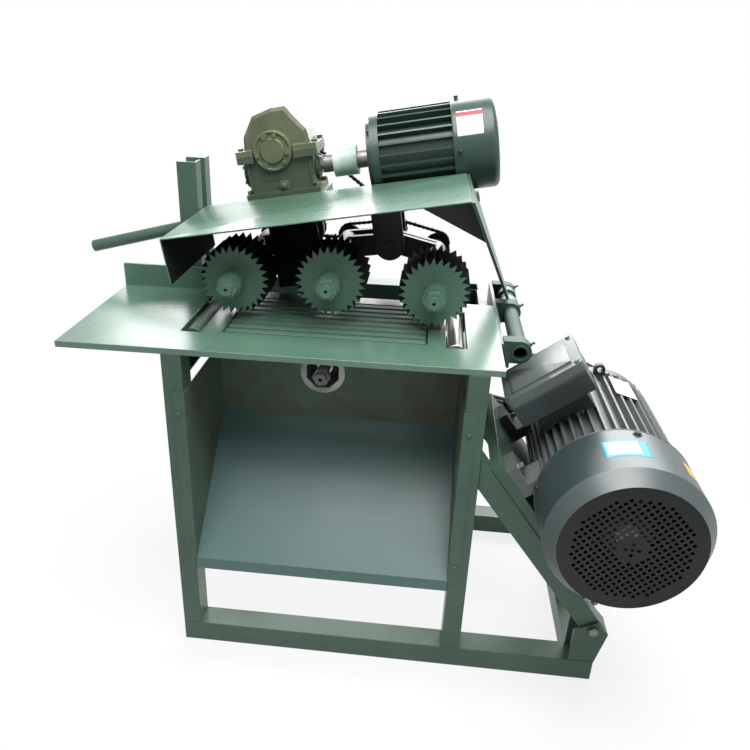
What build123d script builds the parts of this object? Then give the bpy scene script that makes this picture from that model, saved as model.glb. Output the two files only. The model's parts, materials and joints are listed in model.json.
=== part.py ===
from build123d import *
from math import atan2, cos, hypot, radians, sin
import os

# A multi-rip saw: a welded stand with a sawdust chute and a grated table, an arbor under the table driven
# by V-belts from a large motor on slanted beams, and above the table a hinged feed frame that carries a
# hood, a geared feed motor and three toothed feed wheels on swing arms.
# Millimetres, +Z up, +X to the outfeed side and the big motor, +Y away from the operator.
# The origin is on the floor under the front base rail, midway between the front legs.

# Fits
fit = 0.02  # radial gap of pieces that stay together
running = 0.05  # radial gap of a shaft in its bearing
free = 0.3  # gap of a belt or chain to its pulley or sprocket

# Stand
frame_width = 690
frame_depth = 635
base_short = 20  # how far the base rails end before the motor beams do
rail_width = 60
rail_height = 56
rail_wall = 5
leg_x = 44
leg_y = rail_width
leg_wall = 4
upper_rail_drop = 60
upper_rail_wall = 6
strut_y = 60
strut_z = 221

# Table
table_height = 800
table_thick = 14
table_left = 575
table_right = 374
table_depth = 410
grate_x = (-242, 214)
grate_y = (86, 334)
bar_count = 8
bar_width = 19
bar_gap = 12
bar_end_gap = 5
ledge_width = 28
ledge_seat = 20
ledge_thick = 6
roller_x = (-310.5, 276)
roller_radius = 19
roller_proud = 1
roller_slot_width = 45
roller_slot_y = (75, 315)
roller_end_gap = 2
journal_radius = 7
journal_length = 16
block_thick = 14
block_height = 31
block_lap = 3.5
fence_x = (-575, -300)
fence_y = 370
fence_thick = 7
fence_height = 58

# Chute
sheet = 2
chute_top = table_height - 100
chute_lip_top = 260
chute_lip_bottom = 230
chute_back_y = 262
chute_back_low = table_height - 285
chute_back_gap = 12  # room between the back panel and the rollers over it
flange_width = 25
flange_bottom = 258
screw_radius = 5
screw_head = 3
screw_heights = (302, chute_top - 52)
arbor_window = 56
shield_size = 132
shield_opening = 44
shield_sides = 8

# Arbor
arbor_x = -40
arbor_z = table_height - 164
nose_radius = 15
nose_front = 220
nose_hole = 5
nose_hole_depth = 20
arbor_radius = 20
carrier_y = 305
carrier_thick = 12
carrier_low = arbor_z - 76
carrier_hole = 46
housing_length = 118
housing_radius = 55
housing_flange_radius = 85
housing_flange_thick = 12
bearing_radius = 40
bearing_width = 18
arbor_nut_flats = 40
arbor_nut_y = (234, 256)
arbor_end = 530

# Belt drive
pulley_y = (445, 525)
arbor_pulley_radius = 65
motor_pulley_radius = 85
belt_count = 3
belt_pitch = 25
belt_width = 12
belt_thick = 10
groove_depth = 12
groove_top = 17
groove_over = 1  # how far a groove's shape runs out past the rim

# Main motor and its slanted bed
motor_x = 630
motor_z = table_height - 276
bed_slope = 52.8
motor_height = 160
motor_plate_thick = 25
motor_plate_half = 190
motor_plate_y = (-20, 340)
beam_size = 48
beam_wall = 4
beam_y = (0, 310)
beam_clear = 60  # from the base rails up to the beams' lower ends
foot_cheek = 6
foot_rise = 122
foot_bolt_radius = 10
foot_bolt_in = 30
jack_lug = 12
jack_gap = 25
jack_radius = 5
jack_length = 62
fan_face_y = -212
fan_cover_length = 187
fan_cover_radius = 164
fan_face_radius = 142
fan_taper = 36
cover_wall = 3
grille_radius = 128
grille_margin = 11
grille_thick = 2
grille_hole = 7.4
grille_pitch = 12
grille_turn = 43
grille_boss = 27
motor_body_end = 300
motor_core_radius = 135
motor_fin_radius = 154
motor_fin_count = 44
motor_fin_thick = 5
motor_bore = 97
rotor_gap = 0.7
pack_inset = 30
fan_front_gap = 50
fan_rear_gap = 60
fan_blades = 9
motor_shield_length = 90
motor_boss_radius = 70
motor_boss_length = 15
motor_shaft_radius = 24
motor_shaft_end = 530
foot_hole_y = (18, 272)
foot_hole_s = 127
foot_width = 76
foot_thick = 22
foot_web = 26
box_y = (55, 225)
box_half = 88
box_reach = 250
box_depth = 48
box_wall = 8
neck_y = (97, 205)
neck_half = 62
lid_half = 92
lid_y = (60, 220)
lid_thick = 23
panel_inset = 22
panel_rise = 4
lug_y = 270
lug_thick = 13

# Hinged feed frame
hood_left = -364
hood_height = table_height + 203
hood_tilt = 9.6
hood_length = 651
hood_y = (75, 420)
hood_sheet = 3
hood_side_drop = 100
hood_flange_drop = 72
curtain_u = (150, 274)
curtain_drop = 230
hinge_x = 420
hinge_z = table_height - 28
hinge_radius = 19
hinge_bore = 15
hinge_y = (138, 612)
swing_thick = 7
swing_clear = 36
tab_share = 0.6
hub_radius = 25
hub_y = ((452, 486), (532, 566))
gusset_y = 240
gusset_thick = 6
gusset_u = 150
gusset_drop = 125
bed_y = (425, 605)
bed_u = (11, hood_length + 27)
bed_top = -60
bed_thick = 12
end_plate = 6
end_plate_width = 55
end_plate_short = 15  # how far its top stays under the hood's top
riser_u = (92, 302)
riser_y = (430, 580)
riser_top = -5
riser_wall = 8
swing_rear_y = 570
bracket_x = table_right
bracket_thick = 8
bracket_z = (table_height - 70, table_height - 6)
bracket_y = (136, 605)
pillow_y = (161, 428, 588)
pillow_width = 34
pillow_radius = 26
pillow_base = 10
pillow_low = 42
pillow_bolt_z = 34
pillow_bolt_radius = 5
pillow_bolt_y = 10
lift_bar_y = 440
lift_bar_radius = 15
lift_bar_end_x = -680
lift_bar_end_z = table_height + 80
lift_bar_v = -40.5
post_x = -420
post_width = 48
post_wall = 4
post_y = (382, 458)
post_depth = 40
post_top = table_height + 315
post_plate_x = -425
post_plate_y = (372, 505)
post_plate_thick = 12
stop_radius = 8
stop_x = -396

# Reducer and feed motor, in the tilted frame of the hood: u along it, v square to it
reducer_u = (104, 294)
reducer_y = (440, 570)
reducer_foot = 14
reducer_split = 100
reducer_top = 204
reducer_waist = 75
reducer_foot_in = 16  # how far the body stands in from the foot's ends
reducer_side_in = 9
reducer_split_in = 8  # how far the body stands in from the foot's front and back
reducer_ear = 6
reducer_ear_thick = 12
reducer_clamp = 15  # thickness and rise of each half of the clamping lugs beside the bearing cap
reducer_clamp_gap = 1
reducer_bevel = 8
reducer_wall_u = 36
reducer_wall_y = 14
reducer_oil = 8  # room under the worm
crown_shoulder = 46
crown_in = 7
crown_right = 58
crown_drop = 20
crown_flat = (10, 45)
crown_left = 40
crown_fall = 13
cap_radius = 49
cap_flange = 11
cap_face_radius = 31
cap_rise = 16
cap_edge = 3
cap_bore = 6
cap_lugs = 3
cap_lug_radius = 8
cap_lug_circle = 38
cap_lug_turn = 112
bolt_height = 8
bolt_radius = 7
bolt_inset_u = 7
bolt_inset_y = 20
ear_bolt_radius = 6
ear_bolt_inset = 14
output_u = 190
output_v = 107
output_radius = 16
output_end = 674
worm_v = 52
worm_y = 515
worm_radius = 18
worm_half = 46
worm_end = 10
worm_end_gap = 2
worm_shaft_radius = 14
worm_wheel_width = 36
worm_gap = 0.5
coupling_share = 0.48  # the sleeve's share of the gap between reducer and motor
coupling_radius = 36
coupling_hub_radius = 22
coupling_gap = 5
feed_motor_u = (hood_length - 232, hood_length + 80)
feed_motor_core = 88
feed_motor_fin = 105
feed_motor_fins = 26
feed_motor_fin_thick = 4
feed_cover_radius = 107
feed_cover_length = 105
feed_cover_round = 14
feed_slots = 12
feed_slot_centre = 56
feed_slot_size = (46, 8)
feed_fan_gap = 20
feed_fan_tip = 30
feed_shaft_short = 18
feed_pack_inset = 14
feed_shield_length = 31
feed_shield_step = 10
feed_shield_in = 2
feed_bore = 56
feed_foot_u = (feed_motor_u[0] + 43, feed_motor_u[0] + 183)
feed_foot_half = 95
feed_foot_thick = 14

# Feed wheels, swing arms and chains
wheel_x = (-232, -12, 221)
wheel_z = (table_height + 93, table_height + 102, table_height + 89)
wheel_y = (170, 300)
wheel_tip = 80
wheel_root = 64
wheel_teeth = 28
wheel_hub_radius = 26.5
wheel_hub_front = 125
wheel_nut_flats = 41
wheel_nut_front = 103
wheel_shaft_radius = 17
wheel_thread_radius = 14
wheel_shaft_y = (95, 642)
centre_hole = 4
centre_hole_depth = 12
tooth_lean = 0.62  # where in a tooth's pitch its tip stands
layshaft_x = (-122, 102)
layshaft_z = table_height + 118
layshaft_radius = 14
layshaft_y = (445, 674)
hanger_half = 37.5
hanger_y = ((450, 470), (570, 590))
eye_radius = 26
tube_radius = 27
tube_front = 320
left_lug_y = ((475, 495), (545, 565))
middle_lug_y = ((475, 492), (545, 562))
right_lug_y = ((495, 512), (525, 542))
chain_inner = 29
chain_thick = 8
outer_chain_y = (620, 628)
middle_chain_y = (604, 612)
drive_chain_y = (652, 664)

# Planes and lines that several pieces share
half_width = frame_width / 2
front_y = -rail_width / 2
rear_y = front_y + frame_depth
under_table = table_height - table_thick
inner_x = half_width - leg_x
slope = radians(bed_slope)
motor_bed = Plane(
    origin=(motor_x, 0, motor_z), x_dir=(cos(slope), 0, -sin(slope)), z_dir=(sin(slope), 0, cos(slope))
)
tilt = radians(hood_tilt)
deck = Plane(
    origin=(hood_left, 0, hood_height), x_dir=(cos(tilt), 0, sin(tilt)), z_dir=(-sin(tilt), 0, cos(tilt))
)
motor_seat = -motor_height
beam_top = motor_seat - motor_plate_thick
beam_under = beam_top - beam_size
beam_low = (motor_z - rail_height - beam_clear + beam_under * cos(slope)) / sin(slope)
base_reach = motor_x + beam_low * cos(slope) + beam_top * sin(slope) - base_short
foot_low_x = base_reach - rail_width
foot_top = rail_height + foot_rise
coupling_middle = (reducer_u[1] + feed_motor_u[0]) / 2
coupling_half = coupling_share * (feed_motor_u[0] - reducer_u[1]) / 2
coupling_u = (coupling_middle - coupling_half, coupling_middle + coupling_half)
sprocket_radius = chain_inner - free


def side_of(plane, y):
    """The plane seen by the operator at depth y: the first axis along the plane, the second square to it."""
    return Plane(origin=plane.origin + Vector(0, y, 0), x_dir=plane.x_dir, z_dir=(0, -1, 0))


def upright(y):
    """A vertical plane across the machine at depth y, with X to the right and Z up."""
    return Plane(origin=(0, y, 0), x_dir=(1, 0, 0), z_dir=(0, -1, 0))


def block(x, y, z, mode=Mode.ADD):
    """A box from three (low, high) pairs."""
    with Locations(((x[0] + x[1]) / 2, (y[0] + y[1]) / 2, (z[0] + z[1]) / 2)):
        Box(x[1] - x[0], y[1] - y[0], z[1] - z[0], mode=mode)


def drum(x, z, y, radius, mode=Mode.ADD):
    """A round bar along Y from y[0] to y[1]."""
    with Locations(Location((x, (y[0] + y[1]) / 2, z), (90, 0, 0))):
        Cylinder(radius, y[1] - y[0], mode=mode)


def roller_bar(x, y, z, radius, mode=Mode.ADD):
    """A round bar along X from x[0] to x[1]."""
    with Locations(Location(((x[0] + x[1]) / 2, y, z), (0, 90, 0))):
        Cylinder(radius, x[1] - x[0], mode=mode)


def outline(plane, points):
    """A flat face with straight edges through the points."""
    with BuildSketch(plane) as face:
        with BuildLine():
            Polyline(*points, close=True)
        make_face()
    return face.sketch


def hull(plane, circles):
    """The face inside a tight band round the circles, each given as x, y and radius."""
    with BuildSketch(plane) as face:
        for x, y, radius in circles:
            with Locations((x, y)):
                Circle(radius)
        make_hull()
    return face.sketch


def loop(plane, circles, thick):
    """A closed band of one thickness, tight round the circles."""
    outside = hull(plane, [(x, y, radius + thick) for x, y, radius in circles])
    return outside - hull(plane, circles)


def hexagon(plane, flats, bore):
    """A nut's face: its width across flats and its hole."""
    with BuildSketch(plane) as face:
        RegularPolygon(flats / 2, 6, major_radius=False)
        Circle(bore, mode=Mode.SUBTRACT)
    return face.sketch


def hand_over(node, *pieces):
    """Labels a finished piece, or a group of separate solids, and writes its file."""
    piece = pieces[0] if len(pieces) == 1 else Compound(list(pieces))
    piece.label = node
    export_step(piece, f"parts/{node}.step")


def to_deck(x, z):
    """A point's place along and square to the tilted deck."""
    local = deck.to_local_coords(Vector(x, 0, z))
    return local.X, local.Z


# Base rails: two long box sections that reach out under the motor, and a short one across their right ends
def box_rail(x, y, z, wall):
    """A box section along X, open at its ends."""
    block(x, y, z)
    block(x, (y[0] + wall, y[1] - wall), (z[0] + wall, z[1] - wall), mode=Mode.SUBTRACT)


rail_z = (0, rail_height)
front_rail_y = (front_y, front_y + rail_width)
rear_rail_y = (rear_y - rail_width, rear_y)
end_rail_x = (base_reach - rail_width, base_reach)
with BuildPart() as long_rails:
    for rail_y in (front_rail_y, rear_rail_y):
        box_rail((-half_width, base_reach), rail_y, rail_z, rail_wall)
with BuildPart() as end_rail:
    end_rail_y = (front_rail_y[1], rear_rail_y[0])
    block(end_rail_x, end_rail_y, rail_z)
    end_bore_x = (end_rail_x[0] + rail_wall, end_rail_x[1] - rail_wall)
    block(end_bore_x, end_rail_y, (rail_wall, rail_height - rail_wall), mode=Mode.SUBTRACT)
hand_over("base_rails", long_rails.part, end_rail.part)

# Legs: four box sections that stand on the base rails
leg_length = under_table - rail_height
with BuildPart() as legs:
    for side in (-1, 1):
        leg_centre = side * (half_width - leg_x / 2)
        for rail_y in (front_rail_y, rear_rail_y):
            with Locations((leg_centre, sum(rail_y) / 2, (rail_height + under_table) / 2)):
                Box(leg_x, leg_y, leg_length)
                Box(leg_x - 2 * leg_wall, leg_y - 2 * leg_wall, leg_length, mode=Mode.SUBTRACT)
hand_over("legs", legs.part)

# Upper rails: an angle along each side, a box section across the back, and the strut for the rear beam
upper_z = (under_table - upper_rail_drop, under_table)
side_rail_y = (front_rail_y[1], rear_rail_y[0])
rear_beam_y = beam_y[1]
with BuildPart() as upper_rails:
    for side in (-1, 1):
        web = sorted((side * half_width, side * (half_width - upper_rail_wall)))
        sill = sorted((side * half_width, side * inner_x))
        block(web, side_rail_y, upper_z)
        block(sill, side_rail_y, (upper_z[0], upper_z[0] + upper_rail_wall))
    box_rail((-inner_x, inner_x), rear_rail_y, upper_z, leg_wall)
with BuildPart() as strut:
    with Locations((half_width - leg_x / 2, rear_beam_y, upper_z[0] - strut_z / 2)):
        Box(leg_x, strut_y, strut_z)
        Box(leg_x - 2 * leg_wall, strut_y - 2 * leg_wall, strut_z, mode=Mode.SUBTRACT)
hand_over("upper_rails", upper_rails.part, strut.part)

# Table: a thick plate with the grate's opening and two roller slots, and ledges under the grate's ends
table_y = (front_y, front_y + table_depth)
with BuildPart() as table_plate:
    block((-table_left, table_right), table_y, (under_table, table_height))
    block(grate_x, grate_y, (under_table, table_height), mode=Mode.SUBTRACT)
    for x in roller_x:
        slot = (x - roller_slot_width / 2, x + roller_slot_width / 2)
        block(slot, roller_slot_y, (under_table, table_height), mode=Mode.SUBTRACT)
    ledge_lap = ledge_width - ledge_seat
    ledge_y = (grate_y[0] - ledge_lap, grate_y[1] + ledge_lap)
    ledge_z = (under_table - ledge_thick, under_table)
    for edge, inward in ((grate_x[0], 1), (grate_x[1], -1)):
        ledge_x = sorted((edge + inward * ledge_seat, edge - inward * ledge_lap))
        block(ledge_x, ledge_y, ledge_z)
hand_over("table_plate", table_plate.part)

# Grate: loose bars along X, so that each blade passes up through the slot between two of them
bar_step = bar_width + bar_gap
bar_length = grate_x[1] - grate_x[0] - 2 * bar_end_gap
grate_centre = ((grate_x[0] + grate_x[1]) / 2, (grate_y[0] + grate_y[1]) / 2, under_table + table_thick / 2)
with BuildPart() as grate_bars:
    with Locations(grate_centre):
        with GridLocations(1, bar_step, 1, bar_count):
            Box(bar_length, bar_width, table_thick)
hand_over("grate_bars", grate_bars.part)

# Fence: an upright strip along the back of the infeed side
with BuildPart() as fence:
    block(fence_x, (fence_y, fence_y + fence_thick), (table_height, table_height + fence_height))
hand_over("fence", fence.part)

# Table rollers and the open bearing blocks that hang under their slots
roller_z = table_height + roller_proud - roller_radius
roller_inset = journal_length + roller_end_gap
roller_y = (roller_slot_y[0] + roller_inset, roller_slot_y[1] - roller_inset)
journal_y = (roller_y[0] - journal_length, roller_y[1] + journal_length)
block_half = roller_slot_width / 2 + block_lap
for x, node in zip(roller_x, ("infeed_roller", "outfeed_roller")):
    with BuildPart() as roller:
        drum(x, roller_z, roller_y, roller_radius)
        chamfer(roller.edges().filter_by(GeomType.CIRCLE), roller_proud)
        drum(x, roller_z, journal_y, journal_radius)
    hand_over(node, roller.part)
seat_spans = ((journal_y[0], journal_y[0] + block_thick), (journal_y[1] - block_thick, journal_y[1]))
with BuildPart() as roller_blocks:
    for x in roller_x:
        for seat_y in seat_spans:
            block((x - block_half, x + block_half), seat_y, (under_table - block_height, under_table))
            drum(x, roller_z, seat_y, journal_radius + running, mode=Mode.SUBTRACT)
hand_over("roller_blocks", roller_blocks.part)

# Chute: side panels with a front flange, a slope that starts at a front lip, and a back panel
chute_back_top = roller_z - roller_radius - chute_back_gap
chute_rise = atan2(chute_back_low - chute_lip_top, chute_back_y - front_y)
slope_points = (
    (front_y, chute_lip_bottom),
    (front_y, chute_lip_top),
    (chute_back_y, chute_back_low),
    (chute_back_y, chute_back_low - sheet / cos(chute_rise)),
    (front_y + sheet, chute_lip_top - sheet),
    (front_y + sheet, chute_lip_bottom),
)
side_points = (
    (front_y, chute_lip_bottom),
    (chute_back_y, chute_back_low - chute_lip_top + chute_lip_bottom),
    (chute_back_y + sheet, chute_top),
    (front_y, chute_top),
)
with BuildPart() as chute_side_panels:
    for side in (-1, 1):
        panel_x = side * inner_x if side < 0 else side * inner_x - sheet
        extrude(outline(Plane.YZ.offset(panel_x), side_points), sheet)
        flange_x = sorted((side * (inner_x - sheet), side * (inner_x + flange_width)))
        block(flange_x, (front_y - sheet, front_y), (flange_bottom, chute_top))
hand_over("chute_side_panels", chute_side_panels.part)
panel_half = inner_x - sheet
with BuildPart() as chute_slope:
    extrude(outline(Plane.YZ.offset(-panel_half), slope_points), 2 * panel_half)
hand_over("chute_slope", chute_slope.part)
back_y = (chute_back_y, chute_back_y + sheet)
with BuildPart() as chute_back_panel:
    block((-panel_half, panel_half), back_y, (chute_back_low, chute_back_top))
    drum(arbor_x, arbor_z, back_y, arbor_window, mode=Mode.SUBTRACT)
hand_over("chute_back_panel", chute_back_panel.part)
with BuildPart() as chute_screws:
    for side in (-1, 1):
        for z in screw_heights:
            screw_x = side * (inner_x + flange_width / 2)
            drum(screw_x, z, (front_y - sheet - screw_head, front_y - sheet), screw_radius)
hand_over("chute_screws", chute_screws.part)

# Arbor shield: a plate behind the panel's window, with an eight-sided opening for the arbor
shield_plane = upright(back_y[1])
with BuildPart() as arbor_shield:
    with BuildSketch(shield_plane):
        with Locations((arbor_x, arbor_z)):
            Rectangle(shield_size, shield_size)
            RegularPolygon(shield_opening, shield_sides, rotation=180 / shield_sides, mode=Mode.SUBTRACT)
    extrude(amount=-sheet)
hand_over("arbor_shield", arbor_shield.part)

# Arbor carrier: a plate between the left upper rail and the strut, with the bearing housing behind it
carrier_span = (carrier_y, carrier_y + carrier_thick)
housing_y = (carrier_span[1], carrier_span[1] + housing_length)
with BuildPart() as arbor_carrier:
    block((-half_width + upper_rail_wall, inner_x), carrier_span, (carrier_low, upper_z[0]))
    drum(arbor_x, arbor_z, carrier_span, carrier_hole, mode=Mode.SUBTRACT)
hand_over("arbor_carrier", arbor_carrier.part)
with BuildPart() as arbor_housing:
    drum(arbor_x, arbor_z, housing_y, housing_radius)
    drum(arbor_x, arbor_z, (housing_y[0], housing_y[0] + housing_flange_thick), housing_flange_radius)
    drum(arbor_x, arbor_z, housing_y, bearing_radius, mode=Mode.SUBTRACT)
bearing_spans = (
    (housing_y[0], housing_y[0] + bearing_width),
    (housing_y[1] - bearing_width, housing_y[1]),
)
with BuildPart() as arbor_bearings:
    for bearing_y in bearing_spans:
        drum(arbor_x, arbor_z, bearing_y, bearing_radius - fit)
        drum(arbor_x, arbor_z, bearing_y, arbor_radius + running, mode=Mode.SUBTRACT)
hand_over("arbor_housing", arbor_housing.part, arbor_bearings.part)
with BuildPart() as arbor_shaft:
    drum(arbor_x, arbor_z, (nose_front, carrier_span[0]), nose_radius)
    drum(arbor_x, arbor_z, (nose_front, nose_front + nose_hole_depth), nose_hole, mode=Mode.SUBTRACT)
    drum(arbor_x, arbor_z, (carrier_span[0], arbor_end), arbor_radius)
nut_face = hexagon(Plane((arbor_x, arbor_nut_y[0], arbor_z), x_dir=(1, 0, 0), z_dir=(0, 1, 0)),
                   arbor_nut_flats, nose_radius + fit)
with BuildPart() as arbor_nut:
    extrude(nut_face, arbor_nut_y[1] - arbor_nut_y[0])
hand_over("arbor_shaft", arbor_shaft.part, arbor_nut.part)


# Pulleys: drums with V grooves, and the belts that lie in them
def pulley(x, z, radius, bore):
    """A grooved pulley along Y."""
    centre_y = sum(pulley_y) / 2
    drum(x, z, pulley_y, radius)
    for n in range(belt_count):
        groove_y = centre_y + (n - (belt_count - 1) / 2) * belt_pitch
        bottom = belt_width / 2 + free
        with BuildSketch(Plane((x, groove_y, z), x_dir=(1, 0, 0), z_dir=(0, 0, 1))) as groove:
            with BuildLine():
                Polyline(
                    (radius + groove_over, -groove_top / 2),
                    (radius + groove_over, groove_top / 2),
                    (radius - groove_depth, bottom),
                    (radius - groove_depth, -bottom),
                    close=True,
                )
            make_face()
        revolve(groove.sketch, Axis((x, groove_y, z), (0, 1, 0)), mode=Mode.SUBTRACT)
    drum(x, z, pulley_y, bore, mode=Mode.SUBTRACT)


with BuildPart() as arbor_pulley:
    pulley(arbor_x, arbor_z, arbor_pulley_radius, arbor_radius + fit)
hand_over("arbor_pulley", arbor_pulley.part)
with BuildPart() as motor_pulley:
    pulley(motor_x, motor_z, motor_pulley_radius, motor_shaft_radius + fit)
hand_over("motor_pulley", motor_pulley.part)
belt_seat = groove_depth - free
with BuildPart() as v_belts:
    for n in range(belt_count):
        belt_y = sum(pulley_y) / 2 + (n - (belt_count - 1) / 2) * belt_pitch - belt_width / 2
        belt_circles = [
            (arbor_x, arbor_z, arbor_pulley_radius - belt_seat),
            (motor_x, motor_z, motor_pulley_radius - belt_seat),
        ]
        extrude(loop(upright(belt_y), belt_circles, belt_thick), -belt_width)
hand_over("v_belts", v_belts.part)

# Motor beams: two slanted box sections from the right leg and the strut down to feet on the base rails
head_s = (half_width - motor_x + sin(slope) * -beam_top) / cos(slope)
head_drop = beam_size * sin(slope) / cos(slope)
with BuildPart() as motor_beams:
    for y in beam_y:
        beam_face = outline(
            side_of(motor_bed, y - beam_size / 2),
            ((head_s, beam_top), (beam_low, beam_top), (beam_low, beam_under),
             (head_s + head_drop, beam_under)),
        )
        extrude(beam_face, -beam_size)
        wall_drop = head_drop * beam_wall / beam_size
        beam_bore = outline(
            side_of(motor_bed, y - beam_size / 2 + beam_wall),
            ((head_s + wall_drop, beam_top - beam_wall), (beam_low, beam_top - beam_wall),
             (beam_low, beam_under + beam_wall), (head_s + head_drop - wall_drop, beam_under + beam_wall)),
        )
        extrude(beam_bore, -(beam_size - 2 * beam_wall), mode=Mode.SUBTRACT)
hand_over("motor_beams", motor_beams.part)
bolt_centre = motor_bed.from_local_coords(Vector(beam_low - foot_bolt_in, 0, beam_top - beam_size / 2))
beam_tail = motor_bed.from_local_coords(Vector(beam_low, 0, beam_top))
with BuildPart() as beam_feet:
    for y in beam_y:
        cheek_points = (
            (foot_low_x, rail_height),
            (base_reach, rail_height),
            (beam_tail.X, beam_tail.Z),
            (beam_tail.X - cos(slope) * beam_size, foot_top),
            (foot_low_x, foot_top - rail_height / 2),
        )
        for cheek_y in (y - beam_size / 2 - foot_cheek, y + beam_size / 2):
            extrude(outline(upright(cheek_y), cheek_points), -foot_cheek)
        for outward in (-1, 1):
            cheek_end = y + outward * (beam_size / 2 + foot_cheek)
            head_span = sorted((cheek_end, cheek_end + outward * foot_bolt_radius))
            drum(bolt_centre.X, bolt_centre.Z, head_span, foot_bolt_radius)

# Jack screws: a lug on each beam and a screw whose tip bears on the motor plate's lower edge
jack_s = motor_plate_half + jack_gap
jack_v = beam_top + motor_plate_thick / 2
with BuildPart(motor_bed) as jack_screws:
    for y in beam_y:
        lug_span = (y - beam_size / 4, y + beam_size / 4)
        block((jack_s, jack_s + jack_lug), lug_span, (beam_top, beam_top + beam_size / 2))
        roller_bar((motor_plate_half, motor_plate_half + jack_length), y, jack_v, jack_radius)
        head = (motor_plate_half + jack_length, motor_plate_half + jack_length + 2 * jack_radius)
        roller_bar(head, y, jack_v, jack_radius)
hand_over("beam_fittings", beam_feet.part, jack_screws.part)

# Motor plate, and the motor's finned housing on its four feet
with BuildPart(motor_bed) as motor_plate:
    block((-motor_plate_half, motor_plate_half), motor_plate_y, (beam_top, motor_seat))
hand_over("motor_plate", motor_plate.part)
motor_body_y = (fan_face_y + fan_cover_length, motor_body_end)
foot_spans = (
    (foot_hole_y[0] - foot_width / 2, foot_hole_y[0] + foot_width / 2),
    (foot_hole_y[1] - foot_width / 2, motor_body_end),
)
fin_root = motor_core_radius - motor_fin_thick
with BuildPart(motor_bed) as motor_housing:
    drum(0, 0, motor_body_y, motor_core_radius)
    with Locations(Location((0, sum(motor_body_y) / 2, 0), (90, 0, 0))):
        with PolarLocations((fin_root + motor_fin_radius) / 2, motor_fin_count):
            Box(motor_fin_radius - fin_root, motor_fin_thick, motor_body_y[1] - motor_body_y[0])
    for side in (-1, 1):
        foot_inside = foot_hole_s - foot_width / 2
        pad = sorted((side * foot_inside, side * (foot_inside + foot_width)))
        web = sorted((side * foot_inside, side * (foot_inside + foot_web)))
        for foot_span in foot_spans:
            block(pad, foot_span, (motor_seat, motor_seat + foot_thick))
            block(web, foot_span, (motor_seat, -motor_core_radius / 2))
    drum(0, 0, motor_body_y, motor_bore, mode=Mode.SUBTRACT)
shield_y = (motor_body_end, motor_body_end + motor_shield_length)
shaft_bore = motor_shaft_radius + running
with BuildPart(motor_bed) as motor_end_shield:
    with BuildSketch(Plane(motor_bed.origin, x_dir=motor_bed.x_dir, z_dir=motor_bed.z_dir)) as shield_half:
        with BuildLine():
            Polyline(
                (shaft_bore, shield_y[0]),
                (motor_fin_radius - motor_fin_thick, shield_y[0]),
                (motor_fin_radius - motor_fin_thick, shield_y[0] + motor_shield_length / 3),
                (motor_boss_radius, shield_y[1]),
                (motor_boss_radius, shield_y[1] + motor_boss_length),
                (shaft_bore, shield_y[1] + motor_boss_length),
                close=True,
            )
        make_face()
    revolve(shield_half.sketch, Axis(motor_bed.origin, (0, 1, 0)))
hand_over("motor_end_shield", motor_end_shield.part)

# Fan cover: a cup that tapers to a flat face, and the pierced grille in that face
cover_y = (fan_face_y, fan_face_y + fan_cover_length)
cover_inside = fan_cover_radius - cover_wall
taper_end = cover_y[0] + fan_taper
with BuildPart() as motor_fan_cover:
    with BuildSketch(Plane((motor_x, 0, motor_z), x_dir=(1, 0, 0), z_dir=(0, 0, 1))) as cover_half:
        with BuildLine():
            Polyline(
                (grille_radius, cover_y[0]), (fan_face_radius, cover_y[0]), (fan_cover_radius, taper_end),
                (fan_cover_radius, cover_y[1]), (cover_inside, cover_y[1]), (cover_inside, taper_end),
                (fan_face_radius - cover_wall / 2, cover_y[0] + cover_wall),
                (grille_radius, cover_y[0] + cover_wall), close=True,
            )
        make_face()
    revolve(cover_half.sketch, Axis((motor_x, 0, motor_z), (0, 1, 0)))
    cover_ring = (cover_y[1], cover_y[1] - 2 * cover_wall)
    drum(motor_x, motor_z, sorted(cover_ring), cover_inside)
    drum(motor_x, motor_z, sorted(cover_ring), motor_core_radius - motor_fin_thick, mode=Mode.SUBTRACT)
hand_over("motor_fan_cover", motor_fan_cover.part)
grille_reach = grille_radius - grille_margin
grille_rows = range(-int(grille_reach / grille_pitch), int(grille_reach / grille_pitch) + 1)
boss_holes = [(0, 0), (0.5, 0.5), (-0.5, 0.5), (0.5, -0.5), (-0.5, -0.5)]
grille_holes = [
    (column * grille_pitch, row * grille_pitch)
    for column in grille_rows
    for row in grille_rows
    if grille_boss < hypot(column, row) * grille_pitch < grille_reach
]
grille_holes += [(column * grille_pitch * 1.5, row * grille_pitch * 1.5) for column, row in boss_holes]
grille_angle = radians(grille_turn)
grille_plane = Plane(
    (motor_x, cover_y[0], motor_z), x_dir=(cos(grille_angle), 0, sin(grille_angle)), z_dir=(0, 1, 0)
)
with BuildPart() as fan_grille:
    with BuildSketch(grille_plane):
        Circle(grille_radius - fit)
        with Locations(*grille_holes):
            Rectangle(grille_hole, grille_hole, mode=Mode.SUBTRACT)
    extrude(amount=grille_thick)
hand_over("fan_grille", fan_grille.part)

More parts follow.
